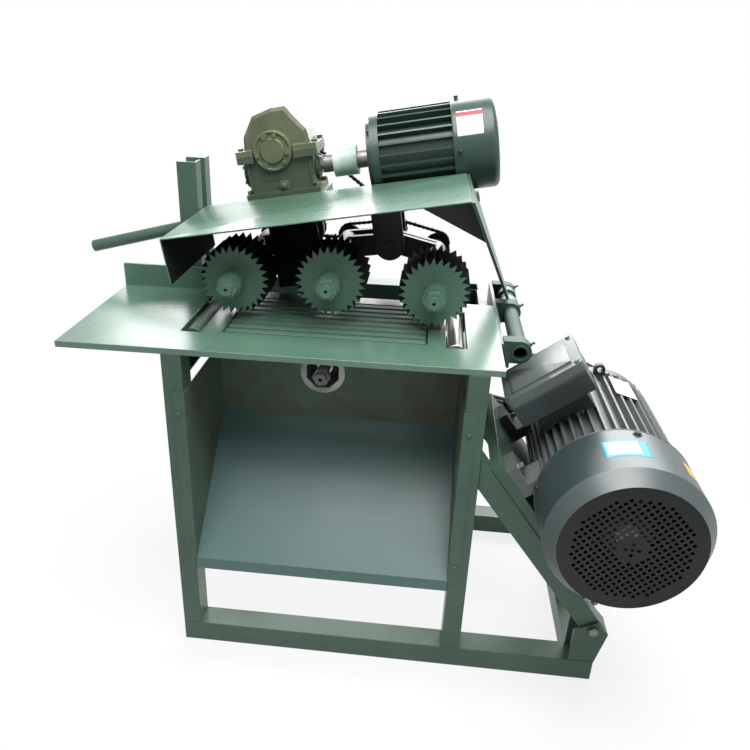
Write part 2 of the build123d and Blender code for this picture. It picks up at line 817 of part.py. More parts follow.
# Terminal box on the motor's upper left side, on a narrower neck, with its lid
box_floor = -box_reach + box_depth
neck_s = (box_floor, -box_reach / 2)
with BuildPart(motor_bed) as terminal_box:
    block((-box_reach, box_floor), box_y, (-box_half, box_half))
    block(neck_s, neck_y, (-neck_half, neck_half))
    box_inside_y = (box_y[0] + box_wall, box_y[1] - box_wall)
    box_inside_n = (-box_half + box_wall, box_half - box_wall)
    block((-box_reach, box_floor - box_wall), box_inside_y, box_inside_n, mode=Mode.SUBTRACT)
    neck_inside_y = (neck_y[0] + box_wall, neck_y[1] - box_wall)
    neck_inside_n = (-neck_half + box_wall, neck_half - box_wall)
    block((-box_reach, neck_s[1]), neck_inside_y, neck_inside_n, mode=Mode.SUBTRACT)
    drum(0, 0, box_y, motor_fin_radius + free, mode=Mode.SUBTRACT)
hand_over("terminal_box", terminal_box.part)
lid_s = (-box_reach - lid_thick, -box_reach)
with BuildPart(motor_bed) as terminal_lid:
    block(lid_s, lid_y, (-lid_half, lid_half))
    fillet(terminal_lid.edges().filter_by(Axis(motor_bed.origin, motor_bed.x_dir)), lid_thick / 3)
    raised_y = (lid_y[0] + panel_inset, lid_y[1] - panel_inset)
    raised_n = (-lid_half + panel_inset, lid_half - panel_inset)
    block((lid_s[0] - panel_rise, lid_s[0]), raised_y, raised_n)
    for y in (lid_y[0] + panel_inset / 2, lid_y[1] - panel_inset / 2):
        for n in (-lid_half + panel_inset / 2, lid_half - panel_inset / 2):
            roller_bar((lid_s[0] - panel_rise, lid_s[0]), y, n, screw_radius)
hand_over("terminal_lid", terminal_lid.part)

# Lifting lug on top of the housing, and the bolts through the feet
lug_low = motor_fin_radius + free
with BuildPart() as lifting_lug:
    with BuildSketch(upright(lug_y)):
        with Locations((motor_x, motor_z + lug_low + lug_thick / 2)):
            Rectangle(2 * lug_thick, lug_thick)
        with Locations((motor_x, motor_z + lug_low + lug_thick)):
            Circle(lug_thick)
            Circle(lug_thick / 2, mode=Mode.SUBTRACT)
    extrude(amount=-lug_thick)
hand_over("motor_housing", motor_housing.part, lifting_lug.part)
with BuildPart(motor_bed) as motor_bolts:
    for s in (-foot_hole_s, foot_hole_s):
        for y in foot_hole_y:
            with Locations((s + (foot_web / 2 if s > 0 else -foot_web / 2), y, motor_seat + foot_thick)):
                Cylinder(foot_bolt_radius, foot_bolt_radius, align=(Align.CENTER, Align.CENTER, Align.MIN))
hand_over("motor_bolts", motor_bolts.part)

# Rotor: the motor's shaft with its rotor pack, and the fan on its front end
pack_y = (motor_body_y[0] + pack_inset, motor_body_end - pack_inset)
fan_y = (cover_y[0] + fan_front_gap, cover_y[1] - fan_rear_gap)
with BuildPart() as motor_shaft:
    drum(motor_x, motor_z, (fan_y[0], motor_shaft_end), motor_shaft_radius)
    drum(motor_x, motor_z, pack_y, motor_bore - rotor_gap)
hand_over("motor_shaft", motor_shaft.part)
with BuildPart() as motor_fan:
    drum(motor_x, motor_z, fan_y, 2 * motor_shaft_radius)
    drum(motor_x, motor_z, (fan_y[1] - cover_wall, fan_y[1]), motor_core_radius)
    with Locations(Location((motor_x, sum(fan_y) / 2, motor_z), (90, 0, 0))):
        with PolarLocations(motor_core_radius / 2, fan_blades):
            Box(motor_core_radius - motor_shaft_radius, cover_wall, fan_y[1] - fan_y[0])
    drum(motor_x, motor_z, fan_y, motor_shaft_radius + fit, mode=Mode.SUBTRACT)
hand_over("motor_fan", motor_fan.part)

# Bearing bracket beside the table's right edge, low enough for timber to leave over it, with pillow blocks
with BuildPart() as bearing_bracket:
    block((bracket_x, bracket_x + bracket_thick), bracket_y, bracket_z)
    block((half_width, bracket_x), bracket_y, (bracket_z[0], bracket_z[0] + bracket_thick))
hand_over("bearing_bracket", bearing_bracket.part)
pillow_x = bracket_x + bracket_thick
with BuildPart() as pillow_blocks:
    for y in pillow_y:
        span = (y - pillow_width / 2, y + pillow_width / 2)
        block((pillow_x, pillow_x + pillow_base), span, (hinge_z - pillow_low, hinge_z + pillow_radius))
        block((pillow_x, hinge_x), span, (hinge_z - pillow_radius, hinge_z + pillow_radius))
        drum(hinge_x, hinge_z, span, pillow_radius)
        drum(hinge_x, hinge_z, span, hinge_radius + running, mode=Mode.SUBTRACT)
        bolt_x = (pillow_x + pillow_base, pillow_x + pillow_base + pillow_bolt_radius)
        for bolt_y in (y - pillow_bolt_y, y + pillow_bolt_y):
            roller_bar(bolt_x, bolt_y, hinge_z - pillow_bolt_z, pillow_bolt_radius)
hand_over("pillow_blocks", pillow_blocks.part)

# Guide posts: two angles on a plate beside the left upper rail, and the stop pin between them
lift_root = deck.from_local_coords(Vector(bed_u[0] - end_plate, 0, lift_bar_v))
lift_angle = atan2(lift_root.Z - lift_bar_end_z, lift_root.X - lift_bar_end_x)
bar_over_stop = lift_bar_end_z + (stop_x - lift_bar_end_x) * sin(lift_angle) / cos(lift_angle)
stop_z = bar_over_stop - lift_bar_radius / cos(lift_angle) - free - stop_radius / cos(lift_angle)
post_z = (under_table, post_top)
with BuildPart() as post_plate:
    block((post_plate_x, -half_width), post_plate_y, (under_table - post_plate_thick, under_table))
with BuildPart() as posts:
    for y in post_y:
        block((post_x, post_x + post_width), (y, y + post_wall), post_z)
        block((post_x + post_width - post_wall, post_x + post_width), (y, y + post_depth), post_z)
with BuildPart() as stop_pin:
    drum(stop_x, stop_z, (post_y[0] + post_wall, post_y[1]), stop_radius)
hand_over("guide_posts", post_plate.part, posts.part, stop_pin.part)

# Hood: a folded sheet made of its top, its left side and its rear flange with a curtain between two wheels
with BuildPart(deck) as hood_top:
    block((0, hood_length), hood_y, (-hood_sheet, 0))
hood_side_z = (-hood_side_drop, -hood_sheet)
with BuildPart(deck) as hood_side:
    block((0, hood_sheet), hood_y, hood_side_z)
flange_u = (hood_sheet, hood_length - gusset_u)
with BuildPart(deck) as hood_flange:
    flange_y = (hood_y[1] - hood_sheet, hood_y[1])
    block(flange_u, flange_y, (-hood_flange_drop, -hood_sheet))
with BuildPart(deck) as hood_curtain:
    block(curtain_u, flange_y, (-curtain_drop, -hood_flange_drop))
hand_over("hood", hood_top.part, hood_side.part, hood_flange.part, hood_curtain.part)

# Swing plate: leans from the hood's right edge back to two hubs on the hinge shaft, its front edge cut aslant
hinge_u, hinge_v = to_deck(hinge_x, hinge_z)
lean = atan2(-hood_sheet - hinge_v, hood_length - hinge_u)
bed_under = bed_top - bed_thick


def lean_point(height, across=0):
    """A point of the swing plate's inner face at a height over the deck, moved outwards square to it."""
    reach = (height - hinge_v) / sin(lean)
    return hinge_u + reach * cos(lean) + across, height


def leaning_strip(y, low, high):
    """A strip of the swing plate between two heights over the deck."""
    inner = (lean_point(high), lean_point(low))
    outer = (lean_point(low, swing_thick), lean_point(high, swing_thick))
    extrude(outline(side_of(deck, y[0]), inner + outer), -(y[1] - y[0]))


tab_low = hinge_v + hub_radius * tab_share
plate_low = hinge_v + swing_clear
hood_end = deck.from_local_coords(Vector(hood_length, 0, 0))
front_cut = outline(
    Plane(origin=hood_end, x_dir=(0, 1, 0), z_dir=deck.x_dir),
    ((hood_y[0], -hood_sheet), (hood_y[1], plate_low), (hood_y[0], plate_low)),
)
with BuildPart() as swing_leaf:
    leaning_strip(hood_y, plate_low, -hood_sheet)
    extrude(front_cut, lean_point(plate_low, swing_thick)[0] - hood_length, mode=Mode.SUBTRACT)
with BuildPart() as swing_rear_leaf:
    leaning_strip((hood_y[1], swing_rear_y), plate_low, bed_under)
swing_pieces = [swing_leaf.part, swing_rear_leaf.part]
for y in hub_y:
    with BuildPart() as swing_arm:
        leaning_strip(y, tab_low, plate_low)
        drum(hinge_x, hinge_z, y, hub_radius)
        drum(hinge_x, hinge_z, y, hinge_radius + fit, mode=Mode.SUBTRACT)
    swing_pieces.append(swing_arm.part)
gusset_high = -hood_sheet
with BuildPart() as gusset:
    gusset_corner = lean_point(gusset_high)
    gusset_points = (
        gusset_corner, (gusset_corner[0] - gusset_u, gusset_high), lean_point(gusset_high - gusset_drop),
    )
    extrude(outline(side_of(deck, gusset_y), gusset_points), -gusset_thick)
hand_over("swing_plate", *swing_pieces, gusset.part)
with BuildPart() as hinge_shaft:
    drum(hinge_x, hinge_z, hinge_y, hinge_radius)
    drum(hinge_x, hinge_z, hinge_y, hinge_bore, mode=Mode.SUBTRACT)
hand_over("hinge_shaft", hinge_shaft.part)

# Drive bed: the plate behind the hood, with its left end plate, the reducer's riser and the shaft hangers
with BuildPart(deck) as drive_bed:
    block(bed_u, bed_y, (bed_under, bed_top))
    end_plate_y = (bed_y[0], bed_y[0] + end_plate_width)
    block((bed_u[0] - end_plate, bed_u[0]), end_plate_y, (bed_under, -end_plate_short))
with BuildPart(deck) as reducer_riser:
    block(riser_u, riser_y, (bed_top, riser_top))
    inner_riser = (riser_u[0] + riser_wall, riser_u[1] - riser_wall)
    block(inner_riser, riser_y, (bed_top, riser_top - riser_wall), mode=Mode.SUBTRACT)
with BuildPart() as hangers:
    for x in layshaft_x:
        u, v = to_deck(x, layshaft_z)
        for y in hanger_y:
            with BuildSketch(side_of(deck, y[0])) as hanger_face:
                with Locations((u, (bed_under + v) / 2)):
                    Rectangle(2 * hanger_half, bed_under - v)
                with Locations((u, v)):
                    Circle(hanger_half)
                    Circle(layshaft_radius + running, mode=Mode.SUBTRACT)
            extrude(hanger_face.sketch, -(y[1] - y[0]))
hand_over("drive_bed", drive_bed.part, reducer_riser.part, hangers.part)

# Lift bar: a round bar from the bed's left end plate out between the guide posts
bar_length = hypot(lift_root.Z - lift_bar_end_z, lift_root.X - lift_bar_end_x)
lift_axis = Vector(cos(lift_angle), 0, sin(lift_angle))
lift_end = Plane((lift_bar_end_x, lift_bar_y, lift_bar_end_z), x_dir=(0, 1, 0), z_dir=lift_axis)
lift_stop = Plane(lift_root + Vector(0, lift_bar_y, 0), x_dir=(0, 1, 0), z_dir=-deck.x_dir)
with BuildPart() as lift_bar:
    with BuildSketch(lift_end):
        Circle(lift_bar_radius)
    extrude(amount=bar_length + lift_bar_radius)
    split(bisect_by=lift_stop)
hand_over("lift_bar", lift_bar.part)

# Reducer: a lower half on a foot flange, an upper half, and the shafts with worm and worm wheel inside
split_y = (reducer_y[0] + reducer_split_in, reducer_y[1] - reducer_split_in)
foot_top_v = riser_top + reducer_foot
centre_distance = output_v - worm_v
cavity_u = (reducer_u[0] + reducer_wall_u, reducer_u[1] - reducer_wall_u)
cavity_y = (split_y[0] + reducer_wall_y, split_y[1] - reducer_wall_y)
cavity_v = (worm_v - worm_radius - reducer_oil, output_v + centre_distance)
body_u = (reducer_u[0] + reducer_side_in, reducer_u[1] - reducer_side_in)
lower_points = (
    (reducer_u[0] + reducer_foot_in, foot_top_v), (reducer_u[1] - reducer_foot_in, foot_top_v),
    (body_u[1], reducer_waist), (body_u[1], reducer_split),
    (body_u[0], reducer_split), (body_u[0], reducer_waist),
)
upper_points = (
    (body_u[0], reducer_split), (body_u[1], reducer_split),
    (body_u[1] - crown_in, reducer_split + crown_shoulder), (output_u + crown_right, reducer_top - crown_drop),
    (output_u + crown_flat[1], reducer_top), (output_u + crown_flat[0], reducer_top),
    (output_u - crown_left, reducer_top - crown_fall),
    (body_u[0] + crown_in, reducer_split + crown_shoulder),
)
ear_u = (reducer_u[0] - reducer_ear, reducer_u[1] + reducer_ear)
cap_room = cap_radius + reducer_clamp_gap
clamp_u = ((ear_u[0], output_u - cap_room), (output_u + cap_room, ear_u[1]))
clamp_y = (split_y[0] - reducer_clamp, split_y[0])
cap_y = (split_y[0] - cap_rise, split_y[0])


def reducer_bores():
    """The cavity and the shaft bores that both halves share."""
    block(cavity_u, cavity_y, cavity_v, mode=Mode.SUBTRACT)
    drum(output_u, output_v, (reducer_y[0], reducer_y[1]), output_radius + running, mode=Mode.SUBTRACT)
    worm_bore = (cavity_u[0] - worm_end - worm_end_gap, reducer_u[1])
    roller_bar(worm_bore, worm_y, worm_v, worm_shaft_radius + running, mode=Mode.SUBTRACT)


with BuildPart(deck) as reducer_housing:
    block(reducer_u, reducer_y, (riser_top, foot_top_v))
    extrude(outline(side_of(deck, split_y[0]), lower_points), -(split_y[1] - split_y[0]))
    block(ear_u, split_y, (reducer_split - reducer_ear_thick, reducer_split))
    for u in clamp_u:
        block(u, clamp_y, (reducer_split - reducer_clamp, reducer_split))
    reducer_bores()
hand_over("reducer_housing", reducer_housing.part)
with BuildPart(deck) as reducer_cover:
    extrude(outline(side_of(deck, split_y[0]), upper_points), -(split_y[1] - split_y[0]))
    front_edges = reducer_cover.edges().filter_by_position(Axis.Y, split_y[0] - free, split_y[0] + free)
    chamfer(front_edges.sort_by(Axis.Z)[1:], reducer_bevel)
    block(ear_u, split_y, (reducer_split, reducer_split + reducer_ear_thick))
    for u in clamp_u:
        block(u, clamp_y, (reducer_split, reducer_split + reducer_clamp))
    reducer_bores()
hand_over("reducer_cover", reducer_cover.part)
with BuildPart(deck) as bearing_cap:
    drum(output_u, output_v, (cap_y[1] - cap_flange, cap_y[1]), cap_radius)
    drum(output_u, output_v, cap_y, cap_face_radius)
    chamfer(bearing_cap.edges().filter_by(GeomType.CIRCLE).sort_by(Axis.Y)[0], cap_edge)
    with Locations(Location((output_u, (cap_y[0] + cap_y[1]) / 2, output_v), (90, 0, 0))):
        with PolarLocations(cap_lug_circle, cap_lugs, start_angle=cap_lug_turn):
            Cylinder(cap_lug_radius, cap_rise)
    drum(output_u, output_v, (cap_y[1] - cap_bore, cap_y[1]), output_radius + running, mode=Mode.SUBTRACT)
with BuildPart(deck) as reducer_bolts:
    for u in (reducer_u[0] + bolt_inset_u, reducer_u[1] - bolt_inset_u):
        for y in (reducer_y[0] + bolt_inset_y, reducer_y[1] - bolt_inset_y):
            with Locations((u, y, foot_top_v)):
                Cylinder(bolt_radius, bolt_height, align=(Align.CENTER, Align.CENTER, Align.MIN))
    for u in ((ear_u[0] + body_u[0]) / 2, (ear_u[1] + body_u[1]) / 2):
        for y in (split_y[0] + ear_bolt_inset, split_y[1] - ear_bolt_inset):
            with Locations((u, y, reducer_split + reducer_ear_thick)):
                Cylinder(ear_bolt_radius, bolt_height, align=(Align.CENTER, Align.CENTER, Align.MIN))
hand_over("reducer_fittings", bearing_cap.part, reducer_bolts.part)
wheel_radius = centre_distance - worm_radius - worm_gap
wheel_span = (worm_y - worm_wheel_width / 2, worm_y + worm_wheel_width / 2)
with BuildPart(deck) as output_shaft:
    drum(output_u, output_v, (cap_y[1] - cap_bore + running, output_end), output_radius)
    drum(output_u, output_v, wheel_span, wheel_radius)
    drum(output_u, output_v, drive_chain_y, sprocket_radius)
hand_over("output_shaft", output_shaft.part)

# Feed motor: finned housing with feet, an end shield, a fan cover, and the shaft line through the coupling
feed_body_u = (feed_motor_u[0] + feed_shield_length, feed_motor_u[1] - feed_cover_length)
feed_fin_root = feed_motor_core - feed_motor_fin_thick
with BuildPart(deck) as feed_motor_housing:
    roller_bar(feed_body_u, worm_y, worm_v, feed_motor_core)
    with Locations(Location((sum(feed_body_u) / 2, worm_y, worm_v), (0, 90, 0))):
        with PolarLocations((feed_fin_root + feed_motor_fin) / 2, feed_motor_fins):
            Box(feed_motor_fin - feed_fin_root, feed_motor_fin_thick, feed_body_u[1] - feed_body_u[0])
    for side in (-1, 1):
        foot_edge = worm_y + side * feed_foot_half / 2
        foot = sorted((worm_y + side * feed_foot_half, foot_edge))
        block(feed_foot_u, foot, (bed_top, bed_top + feed_foot_thick))
        web = sorted((foot_edge, foot_edge + side * feed_foot_thick))
        block(feed_foot_u, web, (bed_top, worm_v - feed_motor_core / 2))
    roller_bar(feed_body_u, worm_y, worm_v, feed_bore, mode=Mode.SUBTRACT)
feed_shaft_bore = worm_shaft_radius + running
with BuildPart(deck) as feed_motor_shield:
    roller_bar((feed_motor_u[0], feed_body_u[0]), worm_y, worm_v, feed_motor_core)
    shield_step = (feed_motor_u[0] + feed_shield_step, feed_body_u[0])
    roller_bar(shield_step, worm_y, worm_v, feed_motor_fin - feed_shield_in)
    roller_bar((feed_motor_u[0], feed_body_u[0]), worm_y, worm_v, feed_shaft_bore, mode=Mode.SUBTRACT)
hand_over("feed_motor_housing", feed_motor_housing.part, feed_motor_shield.part)
feed_cover_u = (feed_body_u[1], feed_motor_u[1])
with BuildPart(deck) as feed_fan_cover:
    roller_bar(feed_cover_u, worm_y, worm_v, feed_cover_radius)
    cover_end = feed_fan_cover.faces().sort_by(Axis(deck.origin, deck.x_dir))[-1]
    fillet(cover_end.edges(), feed_cover_round)
    hollow = (feed_cover_u[0] + cover_wall, feed_cover_u[1] - cover_wall)
    roller_bar(hollow, worm_y, worm_v, feed_cover_radius - feed_cover_round, mode=Mode.SUBTRACT)
    roller_bar((feed_cover_u[0], hollow[0]), worm_y, worm_v, feed_bore, mode=Mode.SUBTRACT)
    with Locations(Location((feed_cover_u[1], worm_y, worm_v), (0, 90, 0))):
        with PolarLocations(feed_slot_centre, feed_slots):
            Box(*feed_slot_size, 4 * cover_wall, mode=Mode.SUBTRACT)
hand_over("feed_fan_cover", feed_fan_cover.part)
feed_pack_u = (feed_body_u[0] + feed_pack_inset, feed_body_u[1] - feed_pack_inset)
feed_fan_u = (hollow[0] + feed_fan_gap, hollow[1] - feed_fan_gap)
with BuildPart(deck) as feed_shaft:
    shaft_u = (cavity_u[0] - worm_end, feed_cover_u[1] - feed_shaft_short)
    roller_bar(shaft_u, worm_y, worm_v, worm_shaft_radius)
    roller_bar((output_u - worm_half, output_u + worm_half), worm_y, worm_v, worm_radius)
    roller_bar(feed_pack_u, worm_y, worm_v, feed_bore - rotor_gap)
    roller_bar(feed_fan_u, worm_y, worm_v, feed_cover_radius - feed_fan_tip)
hand_over("feed_shaft", feed_shaft.part)
hubs_u = (reducer_u[1] + coupling_gap, feed_motor_u[0] - coupling_gap)
with BuildPart(deck) as shaft_coupling:
    roller_bar(hubs_u, worm_y, worm_v, coupling_hub_radius)
    roller_bar(coupling_u, worm_y, worm_v, coupling_radius)
    roller_bar(hubs_u, worm_y, worm_v, worm_shaft_radius + fit, mode=Mode.SUBTRACT)
hand_over("shaft_coupling", shaft_coupling.part)

# Layshafts: the arms swing on them, and their sprockets take the drive chain and the arm chains
layshaft_sprockets = ((outer_chain_y, drive_chain_y), (middle_chain_y, outer_chain_y, drive_chain_y))
for x, sprockets, node in zip(layshaft_x, layshaft_sprockets, ("left_layshaft", "right_layshaft")):
    with BuildPart() as layshaft:
        drum(x, layshaft_z, layshaft_y, layshaft_radius)
        for y in sprockets:
            drum(x, layshaft_z, y, sprocket_radius)
    hand_over(node, layshaft.part)
output_point = deck.from_local_coords(Vector(output_u, 0, output_v))
drive_points = [(output_point.X, output_point.Z)] + [(x, layshaft_z) for x in layshaft_x]
with BuildPart() as drive_chain:
    chain_face = loop(upright(drive_chain_y[0]), [(x, z, chain_inner) for x, z in drive_points], chain_thick)
    extrude(chain_face, -(drive_chain_y[1] - drive_chain_y[0]))
hand_over("drive_chain", drive_chain.part)

# Swing arms: two eyes on the layshaft and a long bearing tube round the wheel's shaft, with the arm's chain
arm_sides = ("left", "middle", "right")
arm_pivots = (layshaft_x[0], layshaft_x[1], layshaft_x[1])
arm_lugs = (left_lug_y, middle_lug_y, right_lug_y)
arm_chains = (outer_chain_y, middle_chain_y, outer_chain_y)
tooth_step = 360 / wheel_teeth
wheel_outline = []
for tooth in range(wheel_teeth):
    for radius, share in ((wheel_root, 0), (wheel_tip, tooth_lean)):
        angle = radians((tooth + share) * tooth_step)
        wheel_outline.append((radius * cos(angle), radius * sin(angle)))
arms = zip(arm_sides, wheel_x, wheel_z, arm_pivots, arm_lugs, arm_chains)
for side, x, z, pivot_x, lug_spans, chain_y in arms:
    with BuildPart() as arm:
        for y in lug_spans:
            lug_face = hull(upright(y[0]), [(pivot_x, layshaft_z, eye_radius), (x, z, tube_radius)])
            extrude(lug_face, -(y[1] - y[0]))
        drum(x, z, (tube_front, lug_spans[1][1]), tube_radius)
        for y in lug_spans:
            drum(pivot_x, layshaft_z, y, layshaft_radius + running, mode=Mode.SUBTRACT)
        drum(x, z, (tube_front, lug_spans[1][1]), wheel_shaft_radius + running, mode=Mode.SUBTRACT)
    with BuildPart() as arm_chain:
        chain_circles = [(pivot_x, layshaft_z, chain_inner), (x, z, chain_inner)]
        extrude(loop(upright(chain_y[0]), chain_circles, chain_thick), -(chain_y[1] - chain_y[0]))
    hand_over(f"{side}_arm", arm.part, arm_chain.part)
    with BuildPart() as feed_wheel:
        wheel_plane = Plane((x, wheel_y[0], z), x_dir=(1, 0, 0), z_dir=(0, 1, 0))
        extrude(outline(wheel_plane, wheel_outline), wheel_y[1] - wheel_y[0])
        drum(x, z, (wheel_hub_front, wheel_y[0]), wheel_hub_radius)
        drum(x, z, (wheel_hub_front, wheel_y[1]), wheel_shaft_radius + fit, mode=Mode.SUBTRACT)
    hand_over(f"{side}_feed_wheel", feed_wheel.part)
    with BuildPart() as wheel_shaft:
        drum(x, z, (wheel_hub_front, wheel_shaft_y[1]), wheel_shaft_radius)
        drum(x, z, (wheel_shaft_y[0], wheel_hub_front), wheel_thread_radius)
        drum(x, z, (wheel_shaft_y[0], wheel_shaft_y[0] + centre_hole_depth), centre_hole, mode=Mode.SUBTRACT)
        drum(x, z, chain_y, sprocket_radius)
    nut_plane = Plane((x, wheel_nut_front, z), x_dir=(1, 0, 0), z_dir=(0, 1, 0))
    nut_face = hexagon(nut_plane, wheel_nut_flats, wheel_thread_radius + fit)
    with BuildPart() as wheel_nut:
        extrude(nut_face, wheel_hub_front - wheel_nut_front)
    hand_over(f"{side}_wheel_shaft", wheel_shaft.part, wheel_nut.part)
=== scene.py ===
import json
import math

import bmesh
import bpy
from bpy.props import FloatProperty, FloatVectorProperty, IntProperty, PointerProperty
from mathutils import Matrix, Vector


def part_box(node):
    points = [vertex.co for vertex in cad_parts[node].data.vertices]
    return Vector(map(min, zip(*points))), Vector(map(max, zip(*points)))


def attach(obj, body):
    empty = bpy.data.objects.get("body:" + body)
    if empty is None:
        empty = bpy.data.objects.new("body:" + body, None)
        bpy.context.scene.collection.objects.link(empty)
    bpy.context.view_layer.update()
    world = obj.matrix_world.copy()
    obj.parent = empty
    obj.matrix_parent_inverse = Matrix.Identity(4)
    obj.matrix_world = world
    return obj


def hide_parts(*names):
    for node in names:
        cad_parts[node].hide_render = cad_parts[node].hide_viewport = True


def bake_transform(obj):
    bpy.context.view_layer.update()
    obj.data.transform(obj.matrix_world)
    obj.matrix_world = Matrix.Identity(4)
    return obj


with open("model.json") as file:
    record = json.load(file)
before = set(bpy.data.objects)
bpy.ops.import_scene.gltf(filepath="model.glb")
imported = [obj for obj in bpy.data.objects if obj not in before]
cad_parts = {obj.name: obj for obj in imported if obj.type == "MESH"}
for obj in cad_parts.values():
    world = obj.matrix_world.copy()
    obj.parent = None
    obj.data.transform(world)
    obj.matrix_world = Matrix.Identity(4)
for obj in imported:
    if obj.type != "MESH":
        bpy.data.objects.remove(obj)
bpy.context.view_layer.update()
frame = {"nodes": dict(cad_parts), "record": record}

bl_info = {
    "name": "Multi-rip saw",
    "version": (1, 0, 0),
    "blender": (4, 5, 0),
    "location": "View3D > Sidebar > Saw",
    "description": "Paints the solids of a multi-rip saw and adds its belts, chains, plates, bolts and welds",
    "category": "Object",
}

nodes = frame["nodes"]


def tone(name, description, red, green, blue):
    """A colour property, given as it looks on screen from 0 to 255."""
    return FloatVectorProperty(
        name=name, description=description, subtype="COLOR_GAMMA", size=3, min=0, max=1,
        default=(red / 255, green / 255, blue / 255),
    )


def length(name, description, millimetres):
    """A length property, given in millimetres and kept in metres."""
    return FloatProperty(name=name, description=description, unit="LENGTH", min=0, default=millimetres / 1000)


def power(name, description, watts):
    """A lamp's power, in watts."""
    return FloatProperty(name=name, description=description, unit="POWER", default=watts)


class SawPaint(bpy.types.PropertyGroup):
    """Colours of the saw's paints, metals and labels, and the dark tones that paint shade under the hood,
    between the feed wheels' teeth and on the gusset.
    """

    green: tone("Machine green", "Paint of the table, the hood and the feed wheels", 88, 121, 104)
    green_shade: tone("Green shade", "Darker drift in the machine green", 76, 108, 92)
    stand: tone("Stand green", "Paint of the stand and the feed frame", 71, 97, 83)
    stand_shade: tone("Stand shade", "Darker drift in the stand green", 60, 86, 72)
    # Painted shade: this near-black stands in for the shade under the hood, on the hood's inner faces
    hood_shade_tone: tone("Hood inside", "Dull paint on the hood's inner faces", 26, 31, 26)
    # Painted shade: this near-black stands in for the shade between the feed wheels' teeth, not for oil
    tooth_flank_shade: tone("Tooth black", "Oily flanks of the feed wheels' teeth", 24, 30, 26)
    olive: tone("Reducer olive", "Paint of the reducer's upper half", 112, 115, 86)
    olive_low: tone("Reducer green", "Paint of the reducer's lower half", 70, 84, 67)
    motor_green: tone("Feed motor green", "Enamel of the feed motor", 40, 64, 55)
    charcoal: tone("Motor charcoal", "Paint of the main motor's ribbed body", 90, 95, 95)
    cover: tone("Fan cover grey", "Paint of the main motor's fan cover", 42, 57, 58)
    lid: tone("Lid grey-green", "Paint of the terminal box's lid", 86, 100, 94)
    chute: tone("Chute grey", "Paint of the chute's slope", 80, 109, 106)
    chute_back: tone("Chute brown-green", "Paint of the chute's back panel", 74, 76, 62)
    nut: tone("Nut grey", "Dull paint of the arbor's nut", 92, 94, 84)
    shield: tone("Shield white", "Paint of the plate behind the arbor", 246, 248, 246)
    sleeve: tone("Sleeve green", "Paint of the coupling's sleeve", 216, 230, 224)
    bare: tone("Bare steel", "Steel that shows where paint has worn off", 128, 130, 126)
    steel: tone("Turned steel", "Rollers and shafts", 186, 184, 178)
    dark_steel: tone("Oiled steel", "Chains and pulleys", 46, 46, 44)
    # Real black paint on the arms and screws; on the gusset and the swing plate's inner face this black is
    # painted shade
    black: tone("Black paint", "Arms and gusset", 30, 36, 33)
    rubber: tone("Belt rubber", "Drive belts", 24, 24, 25)
    dust: tone("Sawdust", "Fine dust on upper faces", 176, 164, 138)
    paper: tone("Label white", "Blank field of the labels", 232, 234, 236)
    blue: tone("Label blue", "Edge of the main motor's label", 66, 164, 214)
    red: tone("Label red", "Head band of the feed motor's label", 206, 60, 78)
    yellow: tone("Label yellow", "Small label on the fan cover's side", 226, 178, 62)
    plate: tone("Plate silver", "Blank plate on the motor's ribs", 176, 174, 166)


class SawSizes(bpy.types.PropertyGroup):
    """Sizes of the saw's belts, chains, labels, bolts and welds."""

    belt_top: length("Belt width", "Width of a belt at its outer face", 14.8)
    belt_foot: length("Belt foot", "Width of a belt at its inner face", 11.6)
    belt_steps: IntProperty(name="Belt steps", description="Sections round one belt", default=220, min=24)
    chain_pitch: length("Chain pitch", "Distance between a chain's pins", 12.7)
    chain_plate: length("Link plate", "Thickness of a chain's link plate", 1.4)
    link_height: length("Link height", "Height of a chain's link plate", 9.6)
    roller: length("Chain roller", "Radius of a chain's roller", 3.9)
    weld: length("Weld bead", "Radius of a weld bead", 2.6)
    weld_ripple: length("Weld ripple", "Distance between a weld's ripples", 4.0)
    label_thick: length("Label thickness", "How far a label stands proud", 0.4)
    plate_thick: length("Plate thickness", "Thickness of the blank plate on the ribs", 1.2)
    rivet: length("Rivet", "Radius of the blank plate's rivets", 2.2)
    bolt_flats: length("Bolt flats", "Width across the flats of a bolt head", 16)
    washer: length("Washer", "Thickness of a bolt's washer", 1.6)


class SawStage(bpy.types.PropertyGroup):
    """Light and floor of the studio."""

    floor: tone("Floor", "Colour of the studio floor", 224, 224, 224)
    sky: FloatProperty(
        name="Sky light", description="Strength of the even light from all round", default=0.17, min=0,
    )
    key: power("Key lamp", "Power of the large lamp over the saw", 115)
    fill: power("Fill lamp", "Power of the lamp at the operator's right", 8)
    rear: power("Rear lamp", "Power of the lamp behind the saw", 145)


# Places that several pieces share, in metres, from the solids' own drawing
MOTOR_X, MOTOR_Z = 0.63, 0.524
DECK = Matrix.Translation((-0.364, 0, 1.003)) @ Matrix.Rotation(math.radians(-9.6), 4, "Y")
MOTOR = Matrix.Translation((MOTOR_X, 0, MOTOR_Z)) @ Matrix.Rotation(math.radians(52.8), 4, "Y")
DECK_U, DECK_V = DECK.col[0].to_3d(), DECK.col[2].to_3d()
MOTOR_S, MOTOR_N = MOTOR.col[0].to_3d(), MOTOR.col[2].to_3d()
FRONT, BACK, RIGHT = Vector((0, -1, 0)), Vector((0, 1, 0)), Vector((1, 0, 0))
ARBOR_X, ARBOR_Z = -0.04, 0.636
LAYSHAFT_X, LAYSHAFT_Z = (-0.122, 0.102), 0.918
WHEELS = {"left": (-0.232, 0.893), "middle": (-0.012, 0.902), "right": (0.221, 0.889)}
FEED_Y, FEED_V = 0.515, 0.052
OUTPUT_U, OUTPUT_V = 0.19, 0.107
HINGE_X, HINGE_Z = 0.42, 0.772
PILLOWS = (0.161, 0.428, 0.588)
